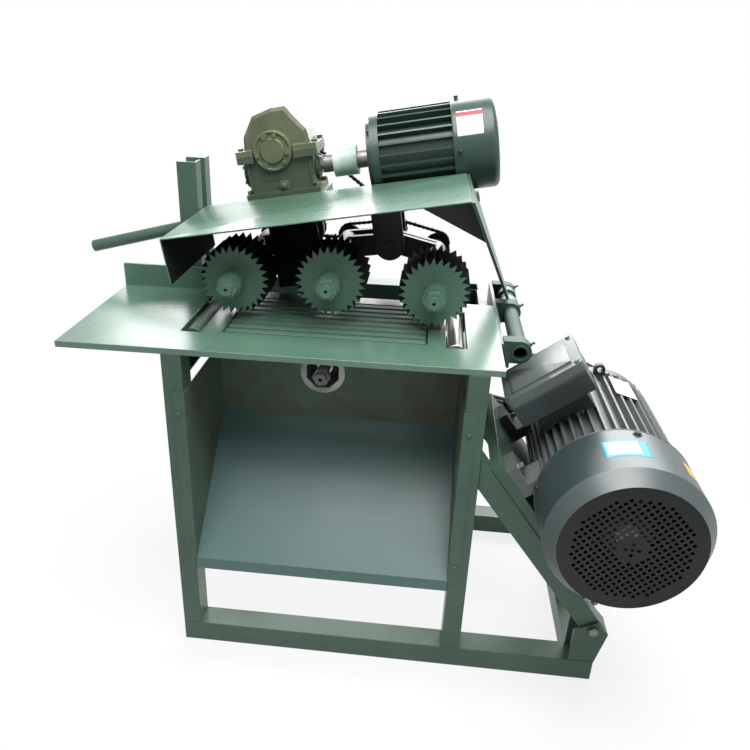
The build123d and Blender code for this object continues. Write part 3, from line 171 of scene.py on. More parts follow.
COVER_RADIUS, RIB_RADIUS, FEED_COVER_RADIUS = 0.164, 0.154, 0.107
BED = 0.0004  # how deep an added piece is bedded in what carries it


def on_deck(u, y, v):
    """A point given along, across and above the tilted deck of the feed frame."""
    return DECK @ Vector((u, y, v))


def on_feed_line(u):
    """A point along the line of the feed motor's shaft."""
    return on_deck(u, FEED_Y, FEED_V)


def on_motor(s, y, n):
    """A point given down, across and above the slanted motor bed."""
    return MOTOR @ Vector((s, y, n))


def polar(radius, angle):
    """The point at a radius and an angle."""
    return radius * math.cos(angle), radius * math.sin(angle)


def screen(colour):
    """A colour as written on screen, changed to the linear values that shaders take."""
    return tuple(c / 12.92 if c <= 0.04045 else ((c + 0.055) / 1.055) ** 2.4 for c in colour) + (1.0,)


# Shader helpers
def add(tree, kind, **inputs):
    """A node with some of its inputs set by name, from values or from other nodes' outputs."""
    made = tree.nodes.new(kind)
    for name, value in inputs.items():
        plug(tree, value, made.inputs[name.replace("_", " ")])
    return made


def plug(tree, value, socket):
    """Joins an output to a socket, or sets a plain value there."""
    if isinstance(value, bpy.types.NodeSocket):
        tree.links.new(value, socket)
    else:
        socket.default_value = value


def blend_colour(tree, share, low, high):
    """The colour between two colours."""
    made = add(tree, "ShaderNodeMix")
    made.data_type = "RGBA"
    plug(tree, share, made.inputs[0])
    plug(tree, low, made.inputs[6])
    plug(tree, high, made.inputs[7])
    return made.outputs[2]


def figure(tree, operation, *values, clamp=False):
    """A sum on values."""
    made = add(tree, "ShaderNodeMath")
    made.operation = operation
    made.use_clamp = clamp
    for value, socket in zip(values, made.inputs):
        plug(tree, value, socket)
    return made.outputs[0]


def spread(tree, value, low, high, to_low=0.0, to_high=1.0):
    """A value moved from one range to another."""
    made = add(tree, "ShaderNodeMapRange")
    for socket, given in zip(made.inputs, (value, low, high, to_low, to_high)):
        plug(tree, given, socket)
    return made.outputs[0]


def noise(tree, place, scale, detail=3.0, roughness=0.55):
    """A noise value over the surface."""
    made = add(tree, "ShaderNodeTexNoise", Vector=place, Scale=scale, Detail=detail, Roughness=roughness)
    return made.outputs[0]


def place_in(tree):
    """The point on the surface in the saw's own frame."""
    return add(tree, "ShaderNodeTexCoord").outputs["Object"]


def shader_group(name, takes, gives):
    """An empty shader group with its sockets. The inputs are named with their defaults."""
    tree = bpy.data.node_groups.new(name, "ShaderNodeTree")
    for label, default in takes.items():
        kind = "NodeSocketVector" if isinstance(default, tuple) else "NodeSocketFloat"
        tree.interface.new_socket(label, in_out="INPUT", socket_type=kind).default_value = default
    for label in gives:
        tree.interface.new_socket(label, in_out="OUTPUT", socket_type="NodeSocketFloat")
    return tree, tree.nodes.new("NodeGroupInput").outputs, tree.nodes.new("NodeGroupOutput").inputs


def make_edge_wear():
    """Marks worn edges: where the rounded normal leaves the flat one, broken up by noise."""
    tree, given, out = shader_group("edge_wear", {"Width": 0.002, "Amount": 0.5}, ("Mask",))
    rounded = add(tree, "ShaderNodeBevel", Radius=given["Width"])
    rounded.samples = 4
    flat = add(tree, "ShaderNodeNewGeometry")
    dot = add(tree, "ShaderNodeVectorMath")
    dot.operation = "DOT_PRODUCT"
    plug(tree, rounded.outputs[0], dot.inputs[0])
    plug(tree, flat.outputs["True Normal"], dot.inputs[1])
    edge = spread(tree, dot.outputs["Value"], 0.985, 0.86)
    chips = spread(tree, noise(tree, place_in(tree), 38.0, 5.0, 0.7), 0.47, 0.62)
    chipped = figure(tree, "MULTIPLY", edge, chips)
    plug(tree, figure(tree, "MULTIPLY", chipped, given["Amount"], clamp=True), out["Mask"])
    return tree


def make_paint_film():
    """Drifts and fine orange peel of a sprayed coat."""
    tree, given, out = shader_group(
        "paint_film", {"Drift Scale": 5.0, "Peel Scale": 190.0}, ("Drift", "Smears", "Peel"),
    )
    place = place_in(tree)
    plug(tree, spread(tree, noise(tree, place, given["Drift Scale"], 4.0, 0.6), 0.36, 0.68), out["Drift"])
    stretched = add(tree, "ShaderNodeMapping", Vector=place, Scale=(5.0, 8.0, 6.0))
    plug(tree, spread(tree, noise(tree, stretched.outputs[0], 1.0, 5.0, 0.65), 0.4, 0.75), out["Smears"])
    plug(tree, noise(tree, place, given["Peel Scale"], 2.0), out["Peel"])
    return tree


def make_settled_dust():
    """Marks fine dust that lies on faces turned upwards."""
    tree, given, out = shader_group("settled_dust", {"Amount": 0.3}, ("Mask",))
    normal = add(tree, "ShaderNodeNewGeometry").outputs["Normal"]
    up = spread(tree, add(tree, "ShaderNodeSeparateXYZ", Vector=normal).outputs["Z"], 0.55, 0.95)
    place = place_in(tree)
    patches = spread(tree, noise(tree, place, 11.0, 6.0, 0.72), 0.45, 0.75)
    grains = spread(tree, noise(tree, place, 420.0, 2.0), 0.42, 0.7, 0.35, 1.0)
    cover = figure(tree, "MULTIPLY", figure(tree, "MULTIPLY", up, patches), grains)
    plug(tree, figure(tree, "MULTIPLY", cover, given["Amount"], clamp=True), out["Mask"])
    return tree


def make_cast_skin():
    """The rough skin of sand-cast iron."""
    tree, given, out = shader_group("cast_skin", {"Scale": 240.0}, ("Height", "Pits"))
    place = place_in(tree)
    coarse = noise(tree, place, given["Scale"], 4.0, 0.7)
    plug(tree, coarse, out["Height"])
    plug(tree, spread(tree, coarse, 0.3, 0.5, 1.0, 0.0), out["Pits"])
    return tree


def make_turning_marks():
    """Fine rings that a lathe leaves, along one direction of the stretch."""
    tree, given, out = shader_group("turning_marks", {"Stretch": (2.0, 900.0, 2.0)}, ("Rings", "Stain"))
    place = place_in(tree)
    stretched = add(tree, "ShaderNodeMapping", Vector=place, Scale=given["Stretch"])
    plug(tree, noise(tree, stretched.outputs[0], 1.0, 3.0, 0.6), out["Rings"])
    plug(tree, spread(tree, noise(tree, place, 26.0, 5.0, 0.7), 0.42, 0.74), out["Stain"])
    return tree


def effect(tree, name, **inputs):
    """Places one of the shared groups in a material, with its own values."""
    made = add(tree, "ShaderNodeGroup")
    made.node_tree = bpy.data.node_groups[name]
    for label, value in inputs.items():
        plug(tree, value, made.inputs[label.replace("_", " ")])
    return made.outputs


def blank_material(name):
    """A material with only its shader, and that shader."""
    material = bpy.data.materials.new(name)
    material.use_nodes = True
    shader = material.node_tree.nodes["Principled BSDF"]
    return material, material.node_tree, shader


def relief(tree, shader, height, strength, distance):
    """Joins a height to the shader's normal."""
    bump = add(tree, "ShaderNodeBump", Strength=strength, Distance=distance, Height=height)
    plug(tree, bump.outputs[0], shader.inputs["Normal"])


def painted(name, paint, shade, gloss, wear, dusting, smear, shine, edge, skin):
    """A painted surface: drifting colour, worn edges, dust on top, and a casting's skin or the paint's peel."""
    material, tree, shader = blank_material(name)
    shared = bpy.context.scene.saw_paint
    film = effect(tree, "paint_film")
    edges = effect(tree, "edge_wear", Width=edge, Amount=wear)["Mask"]
    settled = effect(tree, "settled_dust", Amount=dusting)["Mask"]
    colour = blend_colour(tree, film["Drift"], screen(paint), screen(shade))
    colour = blend_colour(tree, edges, colour, screen(shared.bare))
    colour = blend_colour(tree, settled, colour, screen(shared.dust))
    height = film["Peel"]
    depth = 0.00004
    if skin:
        rough = effect(tree, "cast_skin")
        pits = figure(tree, "MULTIPLY", rough["Pits"], 0.35)
        colour = blend_colour(tree, pits, colour, screen([c * 0.5 for c in shade]))
        height = rough["Height"]
        depth = skin
    plug(tree, colour, shader.inputs["Base Color"])
    sheen = figure(tree, "MULTIPLY_ADD", film["Smears"], smear, gloss)
    plug(tree, figure(tree, "MULTIPLY_ADD", settled, 0.4, sheen), shader.inputs["Roughness"])
    plug(tree, figure(tree, "MULTIPLY", edges, 0.8), shader.inputs["Metallic"])
    shader.inputs["Specular IOR Level"].default_value = shine
    relief(tree, shader, height, 0.5, depth)
    return material


def turned(name, steel, stain, stretch, gloss=0.28, staining=0.4):
    """Machined steel with lathe rings and stains."""
    material, tree, shader = blank_material(name)
    marks = effect(tree, "turning_marks", Stretch=stretch)
    stained = figure(tree, "MULTIPLY", marks["Stain"], staining)
    colour = blend_colour(tree, stained, screen(steel), screen(stain))
    plug(tree, colour, shader.inputs["Base Color"])
    shader.inputs["Metallic"].default_value = 1.0
    plug(tree, figure(tree, "MULTIPLY_ADD", marks["Stain"], 0.22, gloss), shader.inputs["Roughness"])
    relief(tree, shader, marks["Rings"], 0.35, 0.0001)
    return material


def moulded(name, colour, shade, gloss=0.6, grain=0.0001):
    """Rubber, plastic or printed paper: one colour with slight drift and a fine grain."""
    material, tree, shader = blank_material(name)
    film = effect(tree, "paint_film", Drift_Scale=30.0, Peel_Scale=600.0)
    drift = blend_colour(tree, film["Drift"], screen(colour), screen(shade))
    plug(tree, drift, shader.inputs["Base Color"])
    plug(tree, figure(tree, "MULTIPLY_ADD", film["Smears"], 0.12, gloss), shader.inputs["Roughness"])
    relief(tree, shader, film["Peel"], 0.4, grain)
    return material


# Mesh helpers
def piece(name, mesh_maker, materials, body):
    """Makes a mesh from a filled bmesh, gives it its materials, and lets it ride on a body."""
    mesh = bpy.data.meshes.new(name)
    shape = bmesh.new()
    mesh_maker(shape)
    bmesh.ops.recalc_face_normals(shape, faces=shape.faces)
    shape.to_mesh(mesh)
    shape.free()
    made = bpy.data.objects.new(name, mesh)
    bpy.context.scene.collection.objects.link(made)
    for material in materials:
        mesh.materials.append(bpy.data.materials[material])
    if body:
        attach(made, body)
    return made


def frame_along(direction, across=None):
    """A turn that takes local Z to a direction."""
    z = Vector(direction).normalized()
    x = Vector(across) if across else (Vector((0, 0, 1)) if abs(z.z) < 0.9 else Vector((1, 0, 0)))
    x = (x - z * x.dot(z)).normalized()
    return Matrix((x, z.cross(x), z)).transposed()


def lathe(shape, at, direction, profile, steps=40, index=0):
    """Turns a profile of radius and height pairs about a line. The ends close where the radius is nought."""
    turned_to = frame_along(direction)
    rings = []
    for radius, height in profile:
        if radius == 0:
            rings.append([shape.verts.new(Vector(at) + turned_to @ Vector((0, 0, height)))])
            continue
        angles = [2 * math.pi * n / steps for n in range(steps)]
        rings.append([
            shape.verts.new(Vector(at) + turned_to @ Vector((*polar(radius, a), height))) for a in angles
        ])
    for low, high in zip(rings, rings[1:]):
        for n in range(steps):
            m = (n + 1) % steps
            corners = [low[n % len(low)], low[m % len(low)], high[m % len(high)], high[n % len(high)]]
            unique = list(dict.fromkeys(corners))
            if len(unique) > 2:
                face = shape.faces.new(unique)
                face.material_index = index
                face.smooth = True


def join_rings(shape, rings, index=0, smooth=False, closed=False):
    """Fills the bands between rings of points, and either caps the ends or closes the rings into a loop."""
    count = len(rings[0])
    for low, high in zip(rings, rings[1:] + rings[:closed]):
        for n in range(count):
            m = (n + 1) % count
            face = shape.faces.new((low[n], low[m], high[m], high[n]))
            face.material_index = index
            face.smooth = smooth
    for ring in () if closed else (rings[0], rings[-1]):
        shape.faces.new(ring).material_index = index


def prism(shape, at, direction, corners, height, chamfer=0.0, index=0, across=None):
    """Raises an outline along a direction, with its top edge drawn in by the chamfer."""
    turned_to = frame_along(direction, across)
    reach = max(Vector(corner).length for corner in corners)
    levels = [(1.0, 0.0), (1.0, height - chamfer), (1.0 - chamfer / reach, height)]
    rings = []
    for share, level in levels:
        rings.append([
            shape.verts.new(Vector(at) + turned_to @ Vector((x * share, y * share, level))) for x, y in corners
        ])
    join_rings(shape, rings, index)


def hexagon(flats, turn=0.0):
    """The corners of a hexagon by its width across flats."""
    return [polar(flats / math.sqrt(3), turn + math.pi * n / 3) for n in range(6)]


def rectangle(half_x, half_y):
    """The corners of a rectangle by half its sides."""
    return [(-half_x, -half_y), (half_x, -half_y), (half_x, half_y), (-half_x, half_y)]


def bolt(shape, at, direction, flats, washer=0.0, height=None, turn=0.0):
    """A chamfered bolt head on its washer, bedded by a hair. Without a washer the head stands on the face."""
    at, direction = Vector(at), Vector(direction).normalized()
    if washer:
        radius = flats * 0.98
        lathe(shape, at, direction, [
            (0, -BED), (radius, -BED), (radius, washer * 0.7), (radius * 0.94, washer), (0, washer),
        ], 28)
    head = height or flats * 0.62
    prism(shape, at + direction * (washer * 0.9 - BED), direction, hexagon(flats, turn), head, flats * 0.07)
    crown = at + direction * (washer * 0.9 + head - 2 * BED)
    lathe(shape, crown, direction, [(flats * 0.44, 0), (flats * 0.42, flats * 0.035), (0, flats * 0.05)], 28)


def bolt_ring(shape, at, direction, radius, count, flats, degrees, washer=0.0):
    """Bolt heads evenly round a circle, the first one turned by some degrees."""
    turned_to = frame_along(direction)
    for n in range(count):
        angle = math.radians(degrees + 360 * n / count)
        place = Vector(at) + turned_to @ Vector((*polar(radius, angle), 0))
        bolt(shape, place, direction, flats, washer, turn=angle)


def slot_screw(shape, at, direction, radius, index=0):
    """A domed screw head with a sunk slot across it."""
    turned_to = frame_along(direction)
    rise = radius * 0.62
    lathe(shape, at, direction, [
        (0, -BED), (radius, -BED), (radius, rise * 0.45), (radius * 0.9, rise * 0.8), (radius * 0.6, rise),
        (0, rise * 1.02),
    ], 28, index)
    for side in (-1, 1):
        middle = Vector(at) + turned_to @ Vector((0, side * radius * 0.36, rise * 0.9))
        corners = rectangle(radius * 0.66, radius * 0.22)
        prism(shape, middle, direction, corners, rise * 0.28, 0.0001, index, across=turned_to.col[0])


def nipple(shape, at, direction):
    """A grease nipple: hexagon foot, waist and ball head."""
    prism(shape, Vector(at) - Vector(direction) * BED, direction, hexagon(0.008), 0.0035, 0.0004)
    lathe(shape, Vector(at) + Vector(direction) * 0.003, direction, [
        (0.003, 0), (0.003, 0.002), (0.002, 0.0034), (0.002, 0.0046), (0.0032, 0.0058), (0.0034, 0.007),
        (0.0028, 0.0082), (0.0012, 0.009), (0, 0.0091),
    ], 20)


def weld(shape, start, end, sizes, share=1.0):
    """A bead from one point to another, swelling a little at each ripple."""
    radius, ripple = sizes.weld * share, sizes.weld_ripple
    start, end = Vector(start), Vector(end)
    along = end - start
    count = max(6, int(along.length / ripple) * 4)
    sides = 10
    step = 2 * math.pi / sides
    turned_to = frame_along(along)
    rings = []
    for n in range(count + 1):
        part = n / count
        wave = abs(math.sin(math.pi * part * count / 4))
        size = radius * (0.82 + 0.2 * wave + 0.06 * math.sin(17.0 * part + n))
        if n in (0, count):
            size *= 0.45
        rings.append([
            shape.verts.new(start + along * part + turned_to @ Vector((*polar(size, step * k), 0)))
            for k in range(sides)
        ])
    join_rings(shape, rings, smooth=True)


def loop_line(circles):
    """A tight loop round circles of x, z and radius, in turning order: its arcs and straights."""
    count = len(circles)
    normals = []
    for n in range(count):
        (x0, z0, r0), (x1, z1, r1) = circles[n], circles[(n + 1) % count]
        heading = math.atan2(z1 - z0, x1 - x0)
        normals.append(heading - math.acos((r0 - r1) / math.hypot(x1 - x0, z1 - z0)))
    runs = []
    for n in range(count):
        x, z, r = circles[n]
        start = normals[n - 1]
        sweep = (normals[n] - start) % (2 * math.pi)
        runs.append(("arc", x, z, r, start, sweep, r * sweep))
        x1, z1, r1 = circles[(n + 1) % count]
        out = (math.cos(normals[n]), math.sin(normals[n]))
        first = (x + r * out[0], z + r * out[1])
        last = (x1 + r1 * out[0], z1 + r1 * out[1])
        runs.append(("run", first, last, out, normals[n], 0, math.dist(first, last)))
    return runs


def along_loop(runs, distance):
    """The point and the outward normal at a distance round a loop."""
    distance %= sum(run[6] for run in runs)
    for run in runs:
        if distance <= run[6] + 1e-9:
            if run[0] == "arc":
                angle = run[4] + distance / run[3]
                out = (math.cos(angle), math.sin(angle))
                return (run[1] + run[3] * out[0], run[2] + run[3] * out[1]), out
            share = distance / run[6]
            return tuple(a + (b - a) * share for a, b in zip(run[1], run[2])), run[3]
        distance -= run[6]
    return along_loop(runs, 0)


def chain(shape, runs, y, width, sizes, rollers=True):
    """A roller chain round a loop: pairs of waisted link plates, pins with heads, and rollers between them."""
    whole = sum(run[6] for run in runs)
    count = int(round(whole / sizes.chain_pitch / 2)) * 2
    step = whole / count
    plate, tall = sizes.chain_plate, sizes.link_height / 2
    for n in range(count):
        x0, z0 = along_loop(runs, n * step)[0]
        x1, z1 = along_loop(runs, (n + 1) * step)[0]
        heading = Vector((x1 - x0, 0, z1 - z0)).normalized()
        upward = Vector((heading.z, 0, -heading.x))
        reach = math.hypot(x1 - x0, z1 - z0)
        outline = []
        for centre, start in ((reach, -math.pi / 2), (0.0, math.pi / 2)):
            bend = [polar(tall, start + math.pi * k / 6) for k in range(7)]
            outline += [(centre + a, b) for a, b in bend]
            outline.append((reach / 2, tall * 0.62 if centre else -tall * 0.62))
        lift = plate if n % 2 else 0.0
        for side in (-1, 1):
            near = y + side * (width / 2 + lift)
            far = near + side * plate
            join_rings(shape, [
                [shape.verts.new(Vector((x0, level, z0)) + heading * a + upward * b) for a, b in outline]
                for level in (near, far)
            ])
        pin = width / 2 + 2.4 * plate
        lathe(shape, (x0, y - pin, z0), (0, 1, 0), [
            (0, 0), (0.0017, 0), (0.002, 0.0006), (0.002, 2 * pin - 0.0006), (0.0017, 2 * pin), (0, 2 * pin),
        ], 12)
        if rollers:
            lathe(shape, (x0, y - width / 2, z0), (0, 1, 0), [
                (0.002, 0), (sizes.roller * 0.92, 0), (sizes.roller, width * 0.08),
                (sizes.roller, width * 0.92), (sizes.roller * 0.92, width), (0.002, width),
            ], 16)


def curved_label(shape, at, direction, radius, span, degrees, thick, fields, up=(0, 0, 1)):
    """A label bent round a line. A field is a share of its span, a share of its angle and a material index."""
    turned_to = frame_along(direction, up)
    steps_along, steps_round = 40, 24

    def point(a, s, out):
        angle = math.radians(degrees[0] + (degrees[1] - degrees[0]) * a)
        level = span[0] + (span[1] - span[0]) * s
        return Vector(at) + turned_to @ Vector((*polar(radius + out, angle), level))

    def grid(out):
        return [
            [shape.verts.new(point(a / steps_round, s / steps_along, out)) for s in range(steps_along + 1)]
            for a in range(steps_round + 1)
        ]

    tops, feet = grid(thick), grid(-thick)
    for a in range(steps_round):
        for s in range(steps_along):
            face = shape.faces.new((tops[a][s], tops[a + 1][s], tops[a + 1][s + 1], tops[a][s + 1]))
            face.smooth = True
            for (s_low, s_high), (a_low, a_high), index in fields:
                if s_low <= (s + 0.5) / steps_along <= s_high and a_low <= (a + 0.5) / steps_round <= a_high:
                    face.material_index = index
            shape.faces.new((feet[a][s], feet[a][s + 1], feet[a + 1][s + 1], feet[a + 1][s]))
    rim = [(a, 0) for a in range(steps_round)] + [(steps_round, s) for s in range(steps_along)]
    rim += [(a, steps_along) for a in range(steps_round, 0, -1)] + [(0, s) for s in range(steps_along, 0, -1)]
    for (a0, s0), (a1, s1) in zip(rim, rim[1:] + rim[:1]):
        shape.faces.new((tops[a0][s0], feet[a0][s0], feet[a1][s1], tops[a1][s1]))


def dress(node, material, *extra):
    """Gives a solid its material, and further materials to the faces that a test on their middle picks."""
    mesh = nodes[node].data
    mesh.materials.clear()
    mesh.materials.append(bpy.data.materials[material])
    for name, test in extra:
        mesh.materials.append(bpy.data.materials[name])
        index = len(mesh.materials) - 1
        for face in mesh.polygons:
            if test(face.center):
                face.material_index = index


class SAW_OT_finishes(bpy.types.Operator):
    """Makes the shared effects and all of the saw's finishes"""

    bl_idname = "saw.finishes"
    bl_label = "Finishes"

    def execute(self, context):
        paint = context.scene.saw_paint
        for make in (make_edge_wear, make_paint_film, make_settled_dust, make_cast_skin, make_turning_marks):
            make()
        sheet, plate = 0.0007, 0.0018  # how far wear runs in from the edge of sheet metal or of a plate
        coats = (  # name, colour, drift, roughness, wear, dust, smears, shine, edge
            ("machine_green", paint.stand, paint.stand_shade, 0.34, 0.5, 0.1, 0.08, 0.35, sheet),
            ("hinge_green", paint.motor_green, paint.stand_shade, 0.5, 0.3, 0.0, 0.08, 0.2, plate),
            ("table_paint", paint.green, paint.green_shade, 0.24, 0.5, 0.05, 0.06, 0.7, plate),
            ("grate_paint", paint.green, paint.green_shade, 0.42, 0.8, 0.1, 0.08, 0.3, plate),
            ("hood_paint", paint.green, paint.green_shade, 0.26, 0.5, 0.05, 0.08, 0.5, sheet),
            # painted shade on the hood's inner faces
            ("hood_painted_shade", paint.hood_shade_tone, paint.black, 0.8, 0.2, 0.0, 0.08, 0.08, sheet),
            ("wheel_paint", paint.green, paint.green_shade, 0.42, 0.6, 0.1, 0.08, 0.3, plate),
            # painted shade on the teeth's flanks
            ("tooth_painted_shade", paint.tooth_flank_shade, paint.black, 0.8, 0.25, 0.0, 0.08, 0.06, plate),
            ("slope_paint", paint.chute, paint.chute, 0.32, 0.3, 0.0, 0.08, 0.36, sheet),
            # the back panel's own paint, and painted shade on the side panels' inner faces
            ("chute_back_paint_and_side_shade", paint.chute_back, paint.green_shade, 0.5, 0.3, 0.1, 0.08, 0.3, sheet),
            ("shield_white", paint.shield, paint.bare, 0.5, 0.6, 0.1, 0.08, 0.5, sheet),
            ("nut_paint", paint.nut, paint.bare, 0.45, 0.7, 0.1, 0.08, 0.4, plate),
            ("reducer_paint", paint.olive, paint.olive_low, 0.36, 0.3, 0.1, 0.08, 0.35, plate),
            ("reducer_low", paint.olive_low, paint.olive_low, 0.38, 0.3, 0.1, 0.08, 0.35, plate),
            ("feed_motor_enamel", paint.motor_green, paint.motor_green, 0.3, 0.2, 0.05, 0.08, 0.5, sheet),
            ("sleeve_paint", paint.sleeve, paint.green, 0.35, 0.5, 0.05, 0.08, 0.5, plate),
            ("motor_paint", paint.charcoal, paint.charcoal, 0.42, 0.2, 0.06, 0.08, 0.5, plate),
            ("cover_paint", paint.cover, paint.cover, 0.4, 0.3, 0.0, 0.08, 1.0, sheet),
            # the grille's own dark paint, and painted shade on the fan cover's flat front face
            ("grille_paint_and_face_shade", paint.dark_steel, paint.black, 0.5, 0.3, 0.04, 0.08, 0.2, sheet),
            ("lid_paint", paint.lid, paint.charcoal, 0.34, 0.4, 0.06, 0.08, 0.5, plate),
            ("box_paint", paint.cover, paint.black, 0.45, 0.4, 0.06, 0.08, 0.5, plate),
            # real black paint, and painted shade on the gusset and the swing plate's inner face
            ("black_paint_and_shade", paint.black, paint.black, 0.4, 0.3, 0.08, 0.08, 0.35, plate),
        )
        skins = {  # how deep the skin of a casting is
            "reducer_paint": 0.0008, "reducer_low": 0.0008, "motor_paint": 0.0006, "lid_paint": 0.0004,
            "box_paint": 0.0004,
        }
        for coat in coats:
            painted(*coat, skins.get(coat[0], 0.0))
        turned("turned_steel", paint.steel, paint.bare, (2.0, 900.0, 2.0))
        turned("coupling_steel", paint.bare, paint.dark_steel, (900.0, 2.0, 150.0), gloss=0.38)
        turned("oiled_steel", paint.dark_steel, paint.black, (60.0, 300.0, 60.0), gloss=0.36, staining=0.8)
        turned("zinc", paint.steel, paint.bare, (200.0, 200.0, 200.0), gloss=0.36)
        turned("zinc_dull", paint.bare, paint.dark_steel, (200.0, 200.0, 200.0), gloss=0.44)
        turned("plate_silver", paint.plate, paint.bare, (300.0, 4.0, 300.0), gloss=0.42)
        moulded("belt_black", paint.rubber, paint.black, 0.72, 0.0003)
        moulded("black_plastic", paint.rubber, paint.black, 0.4)
        papers = {
            "label_white": (paint.paper, paint.shield), "label_blue": (paint.blue, paint.blue),
            "label_red": (paint.red, paint.red), "label_yellow": (paint.yellow, paint.yellow),
        }
        for name, colours in papers.items():
            moulded(name, *colours, 0.5, 0.00002)
        return {"FINISHED"}


class SAW_OT_paint_solids(bpy.types.Operator):
    """Gives each solid of the saw its finish, and paints shade on the hood's inner faces, the teeth's flanks,
    the gusset, the swing plate's inner face, the chute side panels' inner faces and the fan cover's front face
    """

    bl_idname = "saw.paint_solids"
    bl_label = "Paint the solids"

    def execute(self, context):
        slots = {part["node"]: part["material_slot"] for part in frame["record"]["subparts"]}
        finishes = {
            "frame_green": "machine_green", "table_green": "table_paint", "hood_green": "hood_paint",
            "wheel_green": "wheel_paint", "chute_grey": "slope_paint", "chute_dark": "chute_back_paint_and_side_shade",
            "shield_grey": "shield_white", "reducer_olive": "reducer_paint", "sleeve_pale": "sleeve_paint",
            "feed_motor_green": "feed_motor_enamel", "motor_charcoal": "motor_paint",
            "cover_grey": "cover_paint", "grille_dark": "grille_paint_and_face_shade", "lid_green": "lid_paint",
            "bright_steel": "turned_steel", "dark_steel": "oiled_steel", "arm_dark": "black_paint_and_shade",
            "belt_rubber": "belt_black", "bolt_zinc": "zinc",
        }
        others = {
            "reducer_housing": "reducer_low", "hinge_shaft": "hinge_green", "pillow_blocks": "hinge_green",
            "grate_bars": "grate_paint", "fence": "grate_paint", "terminal_box": "box_paint",
            "motor_fan": "black_plastic",
        }
        for node in nodes:
            dress(node, others.get(node, finishes[slots[node]]))

        # Where one finish of a solid ends and the next begins
        near = 0.0002
        sleeve_radius, bearing_radius, tooth_root = 0.0225, 0.0402, 0.06
        hood_sheet, hood_back, hanger_top = 0.003, 0.417, -0.0725
        plate_top, gusset_y, gusset_end = 0.651, (0.239, 0.247), 0.66
        fan_face, nut_back, wheel_back = -0.212, 0.257, 0.1705
        shaft_sprocket, arm_sprockets = 0.3, 0.6
        panel_inside, flange_back = 0.3245, 0.02
        to_deck = DECK.inverted()
        hinge = Vector((HINGE_X, 0, HINGE_Z))
        way = on_deck(plate_top, 0, -hood_sheet) - hinge
        outward = Vector((way.z, 0, -way.x)).normalized()

        def off_feed_line(point):
            away = Vector(point) - on_feed_line(0)
            return (away - DECK_U * away.dot(DECK_U)).length

        def off(point, x, z):
            return math.hypot(point[0] - x, point[2] - z)

        # Picks the hood's inner faces, where the shade under the hood is painted
        def inside_hood(point):
            u, y, v = to_deck @ Vector(point)
            at_side = abs(u - hood_sheet) < near or abs(y - hood_back) < near
            return v < near - hood_sheet and (v > -hood_sheet - near or at_side)

        # Picks the gusset and the swing plate's inner face, where the shade under the hood is painted black
        def inside_plate(point):
            gusset = gusset_y[0] < point[1] < gusset_y[1] and (to_deck @ Vector(point)).x < gusset_end
            return gusset or abs((Vector((point[0], 0, point[2])) - hinge).dot(outward)) < 0.0005

        dress("shaft_coupling", "sleeve_paint", ("coupling_steel", lambda p: off_feed_line(p) < sleeve_radius))
        # The hood's inner faces are painted near black as painted shade
        dress("hood", "hood_paint", ("hood_painted_shade", inside_hood))
        # The gusset and the swing plate's inner face are painted black as painted shade
        dress("swing_plate", "machine_green", ("black_paint_and_shade", inside_plate))
        # The bearing faces deep in the arbor housing get dark oiled steel, partly their own finish and partly
        # painted shade in the recess
        dress("arbor_housing", "machine_green", (
            "oiled_steel", lambda p: off(p, ARBOR_X, ARBOR_Z) < bearing_radius,
        ))
        dress("arbor_shaft", "turned_steel", ("nut_paint", lambda p: p[1] < nut_back))
        dress("motor_housing", "motor_paint", ("black_paint_and_shade", lambda p: p[2] > MOTOR_Z + RIB_RADIUS + near))
        # The fan cover's flat front face is painted as dark as the grille: painted shade on the face turned
        # away from the lamps
        dress("motor_fan_cover", "cover_paint", ("grille_paint_and_face_shade", lambda p: p[1] < fan_face + near))
        dress("drive_bed", "machine_green", ("black_paint_and_shade", lambda p: (to_deck @ Vector(p)).z < hanger_top))
        # The side panels' inner faces get the back panel's darker paint as painted shade
        dress("chute_side_panels", "machine_green", (
            "chute_back_paint_and_side_shade", lambda p: abs(p[0]) < panel_inside and p[1] > flange_back,
        ))
        for side, (x, z) in WHEELS.items():
            dress(f"{side}_arm", "black_paint_and_shade", ("oiled_steel", lambda p: p[1] > arm_sprockets))
            dress(f"{side}_wheel_shaft", "wheel_paint", ("oiled_steel", lambda p: p[1] > shaft_sprocket))
            # The flanks behind each wheel's front face are painted near black as painted shade between the
            # teeth
            dress(f"{side}_feed_wheel", "wheel_paint", (
                "tooth_painted_shade", lambda p: p[1] > wheel_back and off(p, x, z) > tooth_root,
            ))
        self.round_edges()
        return {"FINISHED"}

    def round_edges(self):
        """Rounds the edges of the plates, rails and castings, by millimetres."""
        widths = {
            2.0: ("base_rails", "legs", "motor_beams", "terminal_box", "reducer_housing", "reducer_cover"),
            1.2: ("table_plate", "grate_bars", "upper_rails", "motor_plate", "terminal_lid", "pillow_blocks"),
            0.8: ("fence", "hood", "swing_plate", "drive_bed", "guide_posts", "bearing_bracket",
                  "beam_fittings", "arbor_carrier", "reducer_fittings", "roller_blocks"),
        }
        for width, names in widths.items():
            for name in names:
                join = nodes[name].modifiers.new("join_faces", "WELD")
                join.merge_threshold = 0.00001
                round_off = nodes[name].modifiers.new("round_edges", "BEVEL")
                round_off.width = width / 1000
                round_off.segments = 3
                round_off.limit_method = "ANGLE"
                round_off.angle_limit = math.radians(40)


